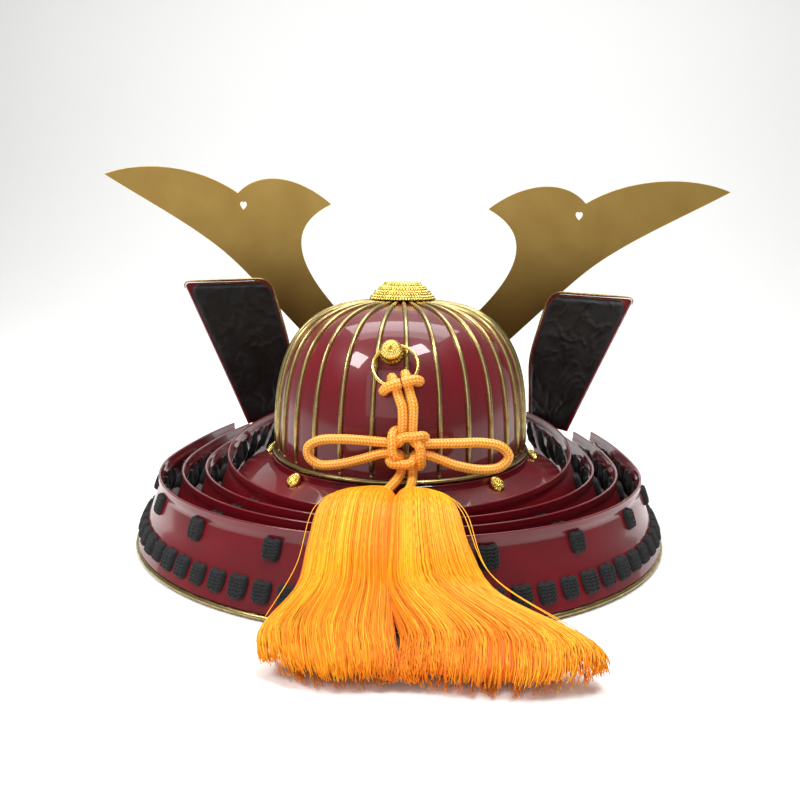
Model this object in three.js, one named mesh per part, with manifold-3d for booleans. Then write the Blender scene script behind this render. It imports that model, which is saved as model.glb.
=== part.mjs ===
// A samurai helmet (kabuto) resting on the rim of its neck guard.
// Millimetres, +Z up. The wearer's face looks along -Y, the back of the neck is at +Y.
import * as THREE from 'three';
import { mergeVertices } from 'three/addons/utils/BufferGeometryUtils.js';
import Module from 'manifold-3d';

const wasm = await Module();
wasm.setup();

const rad = THREE.MathUtils.degToRad;
const V3 = (x, y, z) => new THREE.Vector3(x, y, z);
const range = (n) => Array.from({ length: n }, (_, i) => i);

// ---- driving dimensions -------------------------------------------------
const FIT = 0.3; // clearance between neighbouring pieces
const MERGE = 1e-3; // corners nearer than this are one
const BOWL = { halfWidth: 110, halfLength: 134, base: 72, height: 131, wall: 2, rise: 3.1, round: 3.3 };
const DOME_LEVELS = [0, 0.36, 0.64, 0.83, 0.94, 0.985, 1]; // shares of the dome's height, closer at the crown
const RIBS = { count: 32, halfWidth: 1.7, proud: 2.2, top: 0.9985 };
const SKIRT = { drop: 19, flare: 35, wall: 1.8, sweep: 122, steps: 28 };
const RIVETS = { angles: [-92, -40, 40, 92], radius: 5.6, height: 4, petals: 8 };
const VISOR = { reach: 46, drop: 24, sweep: 50 };
const LAMES = { count: 4, halfWidth: 150, widthStep: 20, back: 179, backStep: 13, top: 66, topStep: 2, wall: 2, flare: 20, steps: 28 };
const LAME_FRONT = { reach: [200, 300, 350, 400], end: [116, 128, 140, 152], bottom: 4.6 };
const LAME_PROFILE = [[0, 2], [5, 2.2], [9, 1.2], [28, 8]]; // depth below the top edge, outer offset
const FIRST_LAME_RISE = 0.07; // the first lame climbs towards the face
const RIM = { inside: 2.6, outside: 2.9 }; // half widths of the bead about the last lame's foot
const LACING = { pitch: 18, width: 12, height: 15, proud: 2.6, rowHeight: 17.5, sparse: 13, innerStep: 2, sparseDrop: 15.5 };
const BAND = { thick: 2, height: 4, behind: 0.9 }; // strips that join a row of lacing, inside or behind its blocks
const HORN = { plane: -152, thick: 1.4, heart: 3.4 };
const HORN_ROOT = { inner: [67, 178.5], outer: [108, 156], slant: [-0.707, -0.707] }; // edges slant to the middle
const HOLDER = { thick: 7, tab: 22 };
const CREST = { lean: -0.0227, pivot: 250, shift: 5 }; // the crest sits a little crooked on its boss
const FLAP = { wall: 2.2, lining: 1.2, border: 2.5, trim: 1.3, cornerIn: 14, cornerOut: 8, bow: 8, rightRise: 9 };
/** Corners of the flap on the +X side: foot and head of its fold edge, foot and head of its free edge. */
const FLAP_CORNERS = {
  foldFoot: V3(126.6, -119, 76), foldHead: V3(139, -95, 209), freeFoot: V3(158, -70, 76), freeHead: V3(208, -35, 207),
};
/** Tiers of the top ornament, from its foot up: radius at each tier's foot, and the tier's height. */
const TOP_ORNAMENT = {
  clear: 2.9, boss: 17, petals: 14,
  tiers: [{ radius: 30, rise: 4.2 }, { radius: 26.5, rise: 4 }, { radius: 22.5, rise: 3.8 }, { radius: 18, rise: 3.2 }],
};
const KNOB = { height: 169, base: 9.2, head: 8.6, stem: 3 };
const RING = { radius: 17, wire: 1.35, hang: [-0.3, 0.53, -0.79] };
const CORD = { radius: 2.65, sides: 8, steps: 76 };
const KNOT = { x: -14.5, y: 147.5, z: 103.5, reach: 11, corner: 13.8, layer: 7.2, pair: 4.1 };
/** The knot's two ears as [right, near, up] from its middle. */
const EARS = {
  left: [
    [-18, 0, -4], [-34, 0, -9], [-52, -1, -13.6], [-66, -3, -14.4], [-73.5, -4, -9], [-74, -4, -2], [-66, -3, 3.6],
    [-50, -1, 5.6], [-34, 0, 5.4], [-18, 0, 4.4]],
  right: [
    [18, 0, 4.2], [36, 0, 5], [56, -1, 5.6], [69, -3, 2.4], [74.5, -4, -5], [69, -3, -12.4], [56, -1, -14.6],
    [36, 0, -11.6], [18, 0, -5.2]],
};
/** Sections down the tassels: how far back and how high, the section's thickness, then middle and width of each. */
const TASSEL_SECTIONS = [
  { back: 170, high: 75, thick: 11, first: [-18, 13], second: [2, 13] },
  { back: 180, high: 75, thick: 16, first: [-26.5, 32], second: [11.5, 37] },
  { back: 213, high: 77, thick: 20.5, first: [-31, 43], second: [16.5, 47] },
  { back: 240, high: 60, thick: 24.5, first: [-35.5, 51], second: [18, 51] },
  { back: 258, high: 38, thick: 25, first: [-45, 69], second: [20, 60] },
  { back: 281, high: 21, thick: 22, first: [-77, 110], second: [30, 88] },
  { back: 300, high: 12, thick: 17, first: [-81, 116], second: [27.5, 91] },
  { back: 315, high: 5, thick: 9, first: [-79, 106], second: [21.5, 79] },
];
const TASSEL_LOCKS = 4;

const REACH_BACK = LAMES.back + LAMES.backStep * (LAMES.count - 1) + LAMES.flare - LAMES.wall / 2 + RIM.outside;
const ORIGIN_Y = (REACH_BACK - BOWL.halfLength - VISOR.reach) / 2; // the middle of the length is at the origin

// ---- finishes -----------------------------------------------------------
const finish = (color, roughness, metalness) => new THREE.MeshStandardMaterial({ color, roughness, metalness });
const RED = finish('#73141a', 0.2, 0);
const OLD_BRASS = finish('#8f8050', 0.4, 1);
const GOLD = finish('#e8d070', 0.3, 1);
const SATIN_GOLD = finish('#8a7038', 0.42, 1);
const BLACK_CORD = finish('#15171a', 0.9, 0);
const BLACK_LINING = finish('#0d0e10', 0.6, 0);
const ORANGE_SILK = finish('#f5a030', 0.7, 0);

// ---- solids -------------------------------------------------------------
/** Indexed geometry with shared corners and no collapsed triangles, faces pointing out. */
function closedGeometry(points, triangles) {
  const geometry = new THREE.BufferGeometry();
  geometry.setAttribute('position', new THREE.Float32BufferAttribute(points.flatMap((p) => [p.x, p.y, p.z]), 3));
  geometry.setIndex(triangles.flat());
  const merged = withoutSlivers(geometry);
  const corners = Array.from(merged.index.array);
  return signedVolume(merged, corners) < 0 ? merged.setIndex(corners.reverse()) : merged;
}

/** Merges corners closer than MERGE and drops the triangles that this collapses. */
function withoutSlivers(geometry) {
  const merged = mergeVertices(geometry, MERGE);
  const corners = merged.index.array;
  const kept = [];
  for (let i = 0; i < corners.length; i += 3) {
    const [a, b, c] = corners.slice(i, i + 3);
    if (a !== b && b !== c && c !== a) kept.push(a, b, c);
  }
  return merged.setIndex(kept);
}

function signedVolume(geometry, corners) {
  const at = (i) => new THREE.Vector3().fromBufferAttribute(geometry.getAttribute('position'), corners[i]);
  let sum = 0;
  for (let i = 0; i < corners.length; i += 3) sum += at(i).dot(at(i + 1).cross(at(i + 2)));
  return sum / 6;
}

/** Body through a row of rings with equal counts of corners. Open rows get a ladder of faces at each end. */
function loft(rings, loop = false) {
  const n = rings[0].length;
  const triangles = [];
  const last = loop ? rings.length : rings.length - 1;
  for (let r = 0; r < last; r += 1) {
    const next = (r + 1) % rings.length;
    for (let i = 0; i < n; i += 1) {
      const j = (i + 1) % n;
      triangles.push([r * n + i, r * n + j, next * n + j], [r * n + i, next * n + j, next * n + i]);
    }
  }
  if (!loop) {
    for (const [base, flip] of [[0, true], [(rings.length - 1) * n, false]]) {
      for (let i = 0; i < n / 2 - 1; i += 1) {
        const quad = [i, i + 1, n - 2 - i, n - 1 - i].map((k) => base + k);
        const faces = [[quad[0], quad[1], quad[2]], [quad[0], quad[2], quad[3]]];
        triangles.push(...faces.map((face) => (flip ? face.reverse() : face)));
      }
    }
  }
  return closedGeometry(rings.flat(), triangles);
}

function toSolid(geometry) {
  const bare = new THREE.BufferGeometry();
  bare.setAttribute('position', geometry.getAttribute('position').clone());
  if (geometry.index) bare.setIndex(geometry.index.clone());
  const merged = mergeVertices(bare, MERGE);
  return new wasm.Manifold(new wasm.Mesh({
    numProp: 3,
    vertProperties: new Float32Array(merged.getAttribute('position').array),
    triVerts: new Uint32Array(merged.index.array),
  }));
}

function fromSolid(solid) {
  const mesh = solid.getMesh();
  const geometry = new THREE.BufferGeometry();
  geometry.setAttribute('position', new THREE.BufferAttribute(new Float32Array(mesh.vertProperties), 3));
  geometry.setIndex(new THREE.BufferAttribute(new Uint32Array(mesh.triVerts), 1));
  return withoutSlivers(geometry);
}

const fuse = (...geometries) => fromSolid(geometries.map(toSolid).reduce((sum, solid) => sum.add(solid)));
const cut = (geometry, ...tools) => fromSolid(
  tools.length ? toSolid(geometry).subtract(tools.map(toSolid).reduce((sum, solid) => sum.add(solid))) : toSolid(geometry));

const kabuto = new THREE.Group();
function place(name, geometry, material) {
  const mesh = new THREE.Mesh(geometry, material);
  mesh.name = name;
  mesh.position.y = -ORIGIN_Y;
  kabuto.add(mesh);
}

// ---- plan curves --------------------------------------------------------
/** Point of an oval plan, at an angle from the back towards +X, moved outwards by offset. */
function onPlan({ halfWidth, back, front }, angle, offset, z) {
  const length = Math.cos(angle) >= 0 ? back : front;
  const outward = new THREE.Vector2(length * Math.sin(angle), halfWidth * Math.cos(angle)).normalize();
  return V3(halfWidth * Math.sin(angle) + offset * outward.x, length * Math.cos(angle) + offset * outward.y, z);
}

/** Closed section of [offset, z] corners swept along a plan between two angles. */
function sweep(plan, section, from, to, steps, loop = false) {
  const rings = range(loop ? steps : steps + 1).map((i) => {
    const angle = from + ((to - from) * i) / steps;
    return section(angle).map(([offset, z]) => onPlan(plan, angle, offset, z));
  });
  return loft(rings, loop);
}

const bowlPlan = { halfWidth: BOWL.halfWidth, back: BOWL.halfLength, front: BOWL.halfLength };

// ---- bowl, ribs and top ornament ---------------------------------------
/** Oval angle at which a ray from the middle, at an even angle, meets the bowl's plan. */
const rayAngle = (ray) => Math.atan2(Math.sin(ray) / BOWL.halfWidth, Math.cos(ray) / BOWL.halfLength);
const domeShrink = (s) => (1 - s ** BOWL.rise) ** (1 / BOWL.round);

/** Point on the dome at relative height s, moved out by offset. */
function onDome(ray, s, offset = 0, side = 0) {
  const angle = rayAngle(ray);
  const flat = onPlan(bowlPlan, angle, 0, 0).multiplyScalar(domeShrink(s));
  const slope = domeShrink(Math.min(s + 0.01, 1)) - domeShrink(Math.max(s - 0.01, 0));
  const across = V3(Math.sin(angle), Math.cos(angle), 0);
  const tilt = Math.atan2(-slope * BOWL.halfWidth, 0.02 * BOWL.height);
  const outward = across.clone().multiplyScalar(Math.cos(tilt)).add(V3(0, 0, Math.sin(tilt)));
  const sideways = V3(across.y, -across.x, 0).multiplyScalar(side);
  return flat.add(V3(0, 0, BOWL.base + s * BOWL.height)).addScaledVector(outward, offset).add(sideways);
}

function bowl() {
  const around = range(RIBS.count).map((k) => ((k + 0.5) * 2 * Math.PI) / RIBS.count);
  const coarse = around.filter((_, i) => i % 2);
  const inner = (ray, s) => onDome(ray, s).multiply(V3(1, 1, 0)).multiplyScalar(1 - BOWL.wall / BOWL.halfWidth)
    .add(V3(0, 0, BOWL.base + s * (BOWL.height - BOWL.wall)));
  const outerShell = loft(DOME_LEVELS.map((s) => around.map((ray) => onDome(ray, s))));
  const hollow = DOME_LEVELS.filter((_, i) => i !== 1).map((s) => coarse.map((ray) => inner(ray, s)));
  const innerShell = loft([coarse.map((ray) => inner(ray, 0).add(V3(0, 0, -1))), ...hollow]);
  return cut(outerShell, innerShell);
}

function rib(ray) {
  const top = RIBS.top;
  const levels = [0, ...DOME_LEVELS.filter((s) => s > 0 && s < top), top];
  const section = [[-1, 0], [0, 1], [1, 0]];
  return loft(levels.map((s) => section.map(([side, up]) => (
    onDome(ray, s, FIT + 0.1 + up * RIBS.proud, side * RIBS.halfWidth)))));
}

function ribCage() {
  const ribs = range(RIBS.count).map((k) => rib(((k + 0.5) * 2 * Math.PI) / RIBS.count));
  const low = BOWL.base;
  const section = () => [[1, low], [1, low + 4.5], [3, low + 4.5], [4.4, low + 2.2], [3, low]];
  const trim = sweep(bowlPlan, section, 0, 2 * Math.PI, RIBS.count, true);
  return fuse(trim, ...ribs);
}

/** Stepped rosette over the dome's crown: scalloped tiers, each smaller than the one below, on a plain boss. */
function topOrnament() {
  const { clear, boss, petals, tiers } = TOP_ORNAMENT;
  const crown = BOWL.base + BOWL.height;
  const ringAt = (r, z, depth) => range(petals * 2).map((i) => {
    const angle = (i * Math.PI) / petals;
    const reach = r - (i % 2) * depth;
    return V3(reach * Math.sin(angle), reach * Math.cos(angle), z);
  });
  const rings = [ringAt(boss, crown + FIT, 0), ringAt(boss, crown + clear, 0)];
  let low = crown + clear;
  for (const { radius, rise } of tiers) {
    rings.push(ringAt(radius, low, 1.2), ringAt(radius - 1.8, low + rise - FIT, 0.9));
    low += rise;
  }
  rings.push(ringAt(tiers[tiers.length - 1].radius - 5, low, 0.2));
  return loft(rings);
}

// ---- skirt, visor and rivets -------------------------------------------
const skirtZ = (offset) => BOWL.base - FIT - 2.5 - (SKIRT.drop - 3) * (offset / SKIRT.flare) ** 0.9;
function skirt() {
  const seat = BOWL.base - FIT;
  const mid = SKIRT.flare * 0.5;
  const section = () => [
    [-1.8, seat], [4.2, seat], [4.2, seat - 2.5], [6, skirtZ(6)], [mid, skirtZ(mid)], [SKIRT.flare, skirtZ(SKIRT.flare)],
    [SKIRT.flare - 0.6, skirtZ(SKIRT.flare) - SKIRT.wall], [mid - 0.7, skirtZ(mid) - SKIRT.wall],
    [4, skirtZ(5) - SKIRT.wall], [1, seat - 4.5], [-1.8, seat - 4.5], [-1.8, seat - 2]];
  const half = rad(SKIRT.sweep);
  return sweep(bowlPlan, section, -half, half, SKIRT.steps);
}

/** Peak over the brow, spreading down and forward from the bowl's front edge. */
function visor() {
  const seat = BOWL.base - FIT;
  const half = rad(VISOR.sweep);
  const section = (angle) => {
    const share = Math.cos(((angle - Math.PI) / half) * (Math.PI / 2)) ** 0.7;
    const reach = 12 + (VISOR.reach - 12) * Math.max(share, 0);
    const drop = 6 + (VISOR.drop - 6) * Math.max(share, 0);
    return [
      [-1.8, seat], [4, seat], [5, seat - 3], [reach * 0.6, seat - 3 - drop * 0.45], [reach, seat - 3 - drop],
      [reach - 0.4, seat - 5 - drop], [reach * 0.6 - 0.6, seat - 5 - drop * 0.45], [3.2, seat - 5],
      [-1.8, seat - 5], [-1.8, seat - 2.5]];
  };
  return sweep(bowlPlan, section, Math.PI - half, Math.PI + half, 16);
}

/** Gold chrysanthemum: a low scalloped disc with a raised centre, its axis along +Z. */
function chrysanthemum(radius, height, petals) {
  const ringAt = (r, z, depth) => range(petals * 2).map((i) => {
    const angle = (i * Math.PI) / petals;
    const reach = r - (i % 2) * depth;
    return V3(reach * Math.cos(angle), reach * Math.sin(angle), z);
  });
  return loft([
    ringAt(radius, 0, radius * 0.12), ringAt(radius, height * 0.3, radius * 0.12),
    ringAt(radius * 0.55, height * 0.62, radius * 0.05), ringAt(radius * 0.5, height * 0.62, 0),
    ringAt(radius * 0.28, height, 0)]);
}

/** Turns a piece made along +Z so that it stands out along direction at a point. */
function standing(geometry, point, direction) {
  const turn = new THREE.Quaternion().setFromUnitVectors(V3(0, 0, 1), direction.clone().normalize());
  return geometry.applyQuaternion(turn).translate(point.x, point.y, point.z);
}

function skirtRivet(angle) {
  const offset = SKIRT.flare * 0.36;
  const low = onPlan(bowlPlan, angle, offset + 3, skirtZ(offset + 3));
  const high = onPlan(bowlPlan, angle, offset - 3, skirtZ(offset - 3));
  const out = onPlan(bowlPlan, angle, 1, 0).sub(onPlan(bowlPlan, angle, 0, 0));
  const fall = (high.z - low.z) / 6;
  const normal = V3(out.x * fall, out.y * fall, 1);
  const point = onPlan(bowlPlan, angle, offset, skirtZ(offset)).addScaledVector(normal.normalize(), FIT + 0.35);
  return standing(chrysanthemum(RIVETS.radius, RIVETS.height, RIVETS.petals), point, normal);
}

// ---- neck guard ---------------------------------------------------------
function lame(k) {
  const plan = {
    halfWidth: LAMES.halfWidth + LAMES.widthStep * k,
    back: LAMES.back + LAMES.backStep * k,
    front: LAME_FRONT.reach[k],
  };
  const top = LAMES.top - LAMES.topStep * k;
  const rise = k === 0 ? FIRST_LAME_RISE : 0;
  const half = Math.acos(-LAME_FRONT.end[k] / plan.front);
  const depth = top - LAME_FRONT.bottom;
  const topAt = (angle) => top + rise * (plan.back - onPlan(plan, angle, 0, 0).y);
  const outer = [...LAME_PROFILE, [depth, LAMES.flare]];
  const face = (down) => {
    const i = Math.max(1, outer.findIndex(([d]) => d >= down));
    const [[d0, o0], [d1, o1]] = [outer[i - 1], outer[i]];
    return o0 + ((o1 - o0) * (down - d0)) / (d1 - d0);
  };
  return { plan, top, half, depth, topAt, outer, face };
}
const lames = range(LAMES.count).map(lame);

/** The skirt's outer edge, as a plan that the first lame's lacing can reach. */
const skirtEdge = { plan: bowlPlan, half: rad(SKIRT.sweep), topAt: () => 0, face: () => SKIRT.flare, depth: 0 };

/** Offset of a lame's outer face at a height. */
const faceAt = ({ topAt, face, depth }, angle, z) => face(THREE.MathUtils.clamp(topAt(angle) - z, 0, depth));

function lameBody({ plan, half, outer, topAt }) {
  const wallAt = (angle, inwards) => outer.map(([down, offset]) => [offset - inwards, topAt(angle) - down]);
  const section = (angle) => [...wallAt(angle, 0), ...wallAt(angle, LAMES.wall).reverse()];
  return sweep(plan, section, -half, half, LAMES.steps);
}

/** Six-sided block on a lame between two angles and heights, from one offset to another off its outer face. */
function block(piece, angle, z, width, height, from, to) {
  const turn = width / 2 / onPlan(piece.plan, angle, 0, 0).length();
  const ringAt = (offset) => [[-1, -1], [1, -1], [1, 1], [-1, 1]].map(([side, up]) => {
    const at = angle + side * turn;
    const level = z + (up * height) / 2;
    return onPlan(piece.plan, at, faceAt(piece, at, level) + offset, level);
  });
  return loft([ringAt(from), ringAt(to)]);
}

/** Angles along a lame, evenly spaced along its length and clear of its two ends. */
function spread(piece, count) {
  const fine = range(401).map((i) => -piece.half + (2 * piece.half * i) / 400);
  const at = fine.map((angle) => onPlan(piece.plan, angle, LAMES.flare, 0));
  const run = [0];
  for (let i = 1; i < at.length; i += 1) run.push(run[i - 1] + at[i].distanceTo(at[i - 1]));
  const total = run[run.length - 1];
  return range(count).map((k) => {
    const target = (total * (k + 0.5)) / count;
    const i = run.findIndex((length) => length >= target);
    return fine[i];
  });
}

/** Strip along a lame at a height, between two offsets from its outer face. */
function band(piece, z, from, to, share, steps) {
  const corner = (angle, offset, level) => [faceAt(piece, angle, level) + offset, level];
  const [low, high] = [z - BAND.height / 2, z + BAND.height / 2];
  const section = (angle) => [
    corner(angle, from, low), corner(angle, to, low), corner(angle, to, high), corner(angle, from, high)];
  return sweep(piece.plan, section, -piece.half * share, piece.half * share, steps);
}

/** Angle on one lame nearest to a point in plan, and how far away it is. */
function nearestOn(piece, point, z) {
  const flat = V3(point.x, point.y, 0);
  const fine = range(601).map((i) => -piece.half + (2 * piece.half * i) / 600);
  const far = fine.map((angle) => onPlan(piece.plan, angle, faceAt(piece, angle, z), 0).distanceTo(flat));
  const gap = Math.min(...far);
  return { angle: fine[far.indexOf(gap)], gap };
}

/** Sparse row of lacing: blocks outside, stems through the lame to the next one, a strip inside that joins them. */
function sparseRow(piece, angles, z, inner) {
  const neck = { width: 2.4, height: 3 };
  const blocks = angles.map((angle) => block(piece, angle, z, LACING.width, LACING.height, FIT, LACING.proud));
  const stems = angles.map((angle, i) => block(
    piece, angle, z, neck.width, neck.height, -LAMES.wall - inner[i], FIT + 0.8));
  const slots = angles.map((angle) => block(
    piece, angle, z, neck.width + 2 * FIT, neck.height + 2 * FIT, -LAMES.wall - 1, 1));
  const back = -LAMES.wall - 2 * FIT;
  const strip = band(piece, z, back - BAND.thick, back, 0.985, LAMES.steps / 2);
  return { body: fuse(strip, ...blocks, ...stems), slots };
}

/** Close row of lacing above the rim: blocks side by side on a thin strip that lies along the lame. */
function closeRow(piece, count) {
  const z = LACING.rowHeight;
  const blocks = spread(piece, count).map((angle) => (
    block(piece, angle, z, LACING.width, LACING.height, FIT, LACING.proud)));
  return fuse(band(piece, z, FIT, FIT + BAND.behind, 1, LAMES.steps), ...blocks);
}

/** Gold half-round bead under the last lame, flat where it rests. */
function rim() {
  const piece = lames[LAMES.count - 1];
  const high = LAME_FRONT.bottom - FIT;
  const at = LAMES.flare - LAMES.wall / 2;
  const section = () => [
    [at - 1.8, 0], [at + 1.8, 0], [at + RIM.outside, high * 0.5], [at + 1.8, high], [at - 1.8, high],
    [at - RIM.inside, high * 0.5]];
  return sweep(piece.plan, section, -piece.half, piece.half, LAMES.steps);
}

function neckGuard() {
  const last = lames[LAMES.count - 1];
  const slots = lames.map(() => []);
  let angles = spread(last, LACING.sparse);
  for (let k = LAMES.count - 1; k >= 0; k -= 1) {
    const piece = lames[k];
    const z = piece.top - LACING.sparseDrop;
    const backs = angles.map((angle) => onPlan(piece.plan, angle, faceAt(piece, angle, z) - LAMES.wall, 0));
    const next = backs.map((point) => nearestOn(k > 0 ? lames[k - 1] : skirtEdge, point, z));
    const spacing = k > 0 ? LACING.proud + 2 * FIT : 3 * FIT;
    const row = sparseRow(piece, angles, z, next.map(({ gap }) => gap - spacing));
    slots[k].push(...row.slots);
    place(`lacing_upper_${k + 1}`, row.body, BLACK_CORD);
    const kept = k === LAMES.count - 1 ? next.filter((_, i) => i % LACING.innerStep === 0) : next;
    angles = kept.map(({ angle }) => angle);
  }
  const length = 2 * Math.PI * last.plan.halfWidth * (last.half / Math.PI);
  place('lacing_bottom_row', closeRow(last, Math.round((length * 1.12) / LACING.pitch)), BLACK_CORD);
  lames.forEach((piece, k) => place(`lame_${k + 1}`, cut(lameBody(piece), ...slots[k]), RED));
  place('lame_rim', rim(), OLD_BRASS);
}

// ---- turned-back flaps at the front of the first lame -------------------
/** Point on the flap's middle surface: across 0 at the fold to 1 at the free edge, up 0 to 1; rise lifts its head. */
function onFlap(across, up, outward, rise) {
  const { foldFoot, freeFoot } = FLAP_CORNERS;
  const foldHead = FLAP_CORNERS.foldHead.clone().add(V3(0, 0, rise));
  const freeHead = FLAP_CORNERS.freeHead.clone().add(V3(0, 0, rise));
  const at = (a, u) => {
    const fold = foldFoot.clone().lerp(foldHead, u).add(V3(-FLAP.bow * Math.sin(Math.PI * u) ** 2, 0, 0));
    return fold.lerp(freeFoot.clone().lerp(freeHead, u), a);
  };
  const e = 0.02;
  const along = at(across + e, up).sub(at(across - e, up));
  const rising = at(across, up + e).sub(at(across, up - e));
  return at(across, up).addScaledVector(along.cross(rising).normalize(), outward);
}

/** Flat plate on the flap between two offsets, drawn in by a border, with both head corners rounded. */
function flapPlate(from, to, border, start, rise) {
  const on = (across, up, outward = 0) => onFlap(across, up, outward, rise);
  const widthAt = (up) => on(0, up).distanceTo(on(1, up));
  const height = on(0, 0).distanceTo(on(0, 1));
  const end = 1 - border / height;
  const rounding = (up, radius) => {
    const left = end * height - up * height;
    return left >= radius ? 0 : radius - Math.sqrt(Math.max(radius ** 2 - (radius - left) ** 2, 0));
  };
  const levels = [start, 0.2, 0.4, 0.6, 0.8, end - 0.09, end - 0.05, end - 0.025, end - 0.008, end];
  const rings = levels.map((up) => {
    const width = widthAt(up);
    const a0 = (border + rounding(up, FLAP.cornerIn)) / width;
    const a1 = 1 - (border + rounding(up, FLAP.cornerOut)) / width;
    const row = range(5).map((i) => a0 + ((a1 - a0) * i) / 4);
    return [...row.map((a) => on(a, up, from)), ...row.reverse().map((a) => on(a, up, to))];
  });
  return loft(rings);
}

/** Bead that runs over the head and down the fold edge, just off the plate. */
function flapTrim(rise) {
  const on = (across, up) => onFlap(across, up, 0, rise);
  const off = FLAP.trim + FIT + 1;
  const height = on(0, 0).distanceTo(on(0, 1));
  const corner = (radius, across, quarter) => range(5).map((i) => {
    const turn = (i / 4) * (Math.PI / 2);
    const inAcross = radius - (radius + off) * (quarter ? Math.cos(turn) : Math.sin(turn));
    const inUp = radius - (radius + off) * (quarter ? Math.sin(turn) : Math.cos(turn));
    const width = on(0, 0.95).distanceTo(on(1, 0.95));
    return on(across ? 1 - inAcross / width : inAcross / width, 1 - inUp / height);
  });
  const fold = (up) => on(-off / on(0, up).distanceTo(on(1, up)), up);
  const points = [
    ...corner(FLAP.cornerOut, 1, true), ...[0.75, 0.55, 0.35].map((across) => on(across, 1 + off / height)),
    ...corner(FLAP.cornerIn, 0, false), ...[0.75, 0.5, 0.25, 0.03].map(fold)];
  return tube(points, FLAP.trim, 5, 36);
}

/** Round rod along a smooth line through points. */
function tube(points, radius, sides, steps) {
  const section = new THREE.Shape(range(sides).map((i) => {
    const angle = ((i + 0.5) * 2 * Math.PI) / sides;
    return new THREE.Vector2(radius * Math.cos(angle), radius * Math.sin(angle));
  }));
  const path = new THREE.CatmullRomCurve3(points, false, 'centripetal');
  return new THREE.ExtrudeGeometry(section, { extrudePath: path, steps, curveSegments: 1 });
}

/** The same piece on the other side of the helmet. */
function mirrored(geometry) {
  const copy = mergeVertices(geometry.clone().deleteAttribute('normal').deleteAttribute('uv'), MERGE).scale(-1, 1, 1);
  return copy.setIndex(Array.from(copy.index.array).reverse());
}

function flaps() {
  const back = -FLAP.wall / 2 - 2 * FIT;
  const pieces = (rise) => [
    ['flap', flapPlate(-FLAP.wall / 2, FLAP.wall / 2, 0, 0, rise), RED],
    ['flap_lining', flapPlate(back - FLAP.lining, back, FLAP.border, 0.1, rise), BLACK_LINING],
    ['flap_trim', flapTrim(rise), OLD_BRASS]];
  for (const [name, geometry, material] of pieces(FLAP.rightRise)) place(`${name}_right`, geometry, material);
  for (const [name, geometry, material] of pieces(0)) place(`${name}_left`, mirrored(geometry), material);
}

// ---- horns and their holder ---------------------------------------------
function hornOutline() {
  const down = ([x, z]) => [x + HORN_ROOT.slant[0] * HOLDER.tab, z + HORN_ROOT.slant[1] * HOLDER.tab];
  const outline = new THREE.Shape();
  outline.moveTo(...down(HORN_ROOT.outer));
  outline.lineTo(...HORN_ROOT.outer);
  outline.bezierCurveTo(165, 212, 180, 232, 217, 256);
  outline.bezierCurveTo(250, 278, 295, 300, 327, 319);
  outline.bezierCurveTo(290, 334, 228, 333, 182, 303.6);
  outline.bezierCurveTo(160, 328, 118, 324, 82, 294.7);
  outline.bezierCurveTo(127, 272, 125, 236, ...HORN_ROOT.inner);
  outline.lineTo(...down(HORN_ROOT.inner));
  const heart = new THREE.Path();
  const [x, z, r] = [176, 291, HORN.heart];
  heart.moveTo(x, z - 1.3 * r);
  heart.quadraticCurveTo(x + 1.4 * r, z, x + 0.7 * r, z + 0.9 * r);
  heart.quadraticCurveTo(x + 0.2 * r, z + 1.2 * r, x, z + 0.5 * r);
  heart.quadraticCurveTo(x - 0.2 * r, z + 1.2 * r, x - 0.7 * r, z + 0.9 * r);
  heart.quadraticCurveTo(x - 1.4 * r, z, x, z - 1.3 * r);
  outline.holes.push(heart);
  return outline;
}

/** Extrudes an outline drawn in x and z, centred on the horns' plane. */
function uprightPlate(outline, thick, plane = HORN.plane, curveSegments = 6) {
  const geometry = new THREE.ExtrudeGeometry(outline, { depth: thick, bevelEnabled: false, curveSegments });
  return geometry.rotateX(Math.PI / 2).translate(0, plane + thick / 2, 0);
}

/** Slot for the root, a little larger than it all round and open at the arm's end. */
function rootSlot() {
  const [ix, iz] = HORN_ROOT.inner;
  const [ox, oz] = HORN_ROOT.outer;
  const across = new THREE.Vector2(ox - ix, oz - iz).normalize().multiplyScalar(FIT + 0.2);
  const [sx, sz] = HORN_ROOT.slant;
  const deep = HOLDER.tab + FIT;
  const slot = new THREE.Shape([
    new THREE.Vector2(ix - across.x + 2, iz - across.y + 2), new THREE.Vector2(ox + across.x + 2, oz + across.y + 2),
    new THREE.Vector2(ox + across.x + sx * deep, oz + across.y + sz * deep),
    new THREE.Vector2(ix - across.x + sx * deep, iz - across.y + sz * deep)]);
  return uprightPlate(slot, HORN.thick + 2 * FIT);
}

/** Forked holder over the brow: two arms with pockets for the horns, and a boss against the bowl. */
function hornHolder() {
  const arm = new THREE.Shape();
  arm.moveTo(0, 70);
  arm.lineTo(22, 70);
  arm.quadraticCurveTo(30, 86, 60, 104);
  arm.lineTo(114, 150.5);
  arm.lineTo(61, 180.5);
  arm.lineTo(28, 146);
  arm.quadraticCurveTo(12, 132, 0, 130);
  const plate = uprightPlate(arm, HOLDER.thick);
  const boss = new THREE.BoxGeometry(19, 14.2, 20).translate(0, HORN.plane + 10.1, 88);
  const half = cut(plate, rootSlot());
  return fuse(leaning(fuse(half, mirrored(half))), boss);
}

/** Leans and shifts a piece of the crest in its own plane. */
function leaning(geometry) {
  return geometry.translate(0, 0, -CREST.pivot).rotateY(CREST.lean).translate(CREST.shift, 0, CREST.pivot);
}

function crest() {
  const horn = uprightPlate(hornOutline(), HORN.thick);
  place('horn_right', leaning(fromSolid(toSolid(horn))), SATIN_GOLD);
  place('horn_left', leaning(mirrored(horn)), SATIN_GOLD);
  place('horn_holder', hornHolder(), RED);
}

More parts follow.
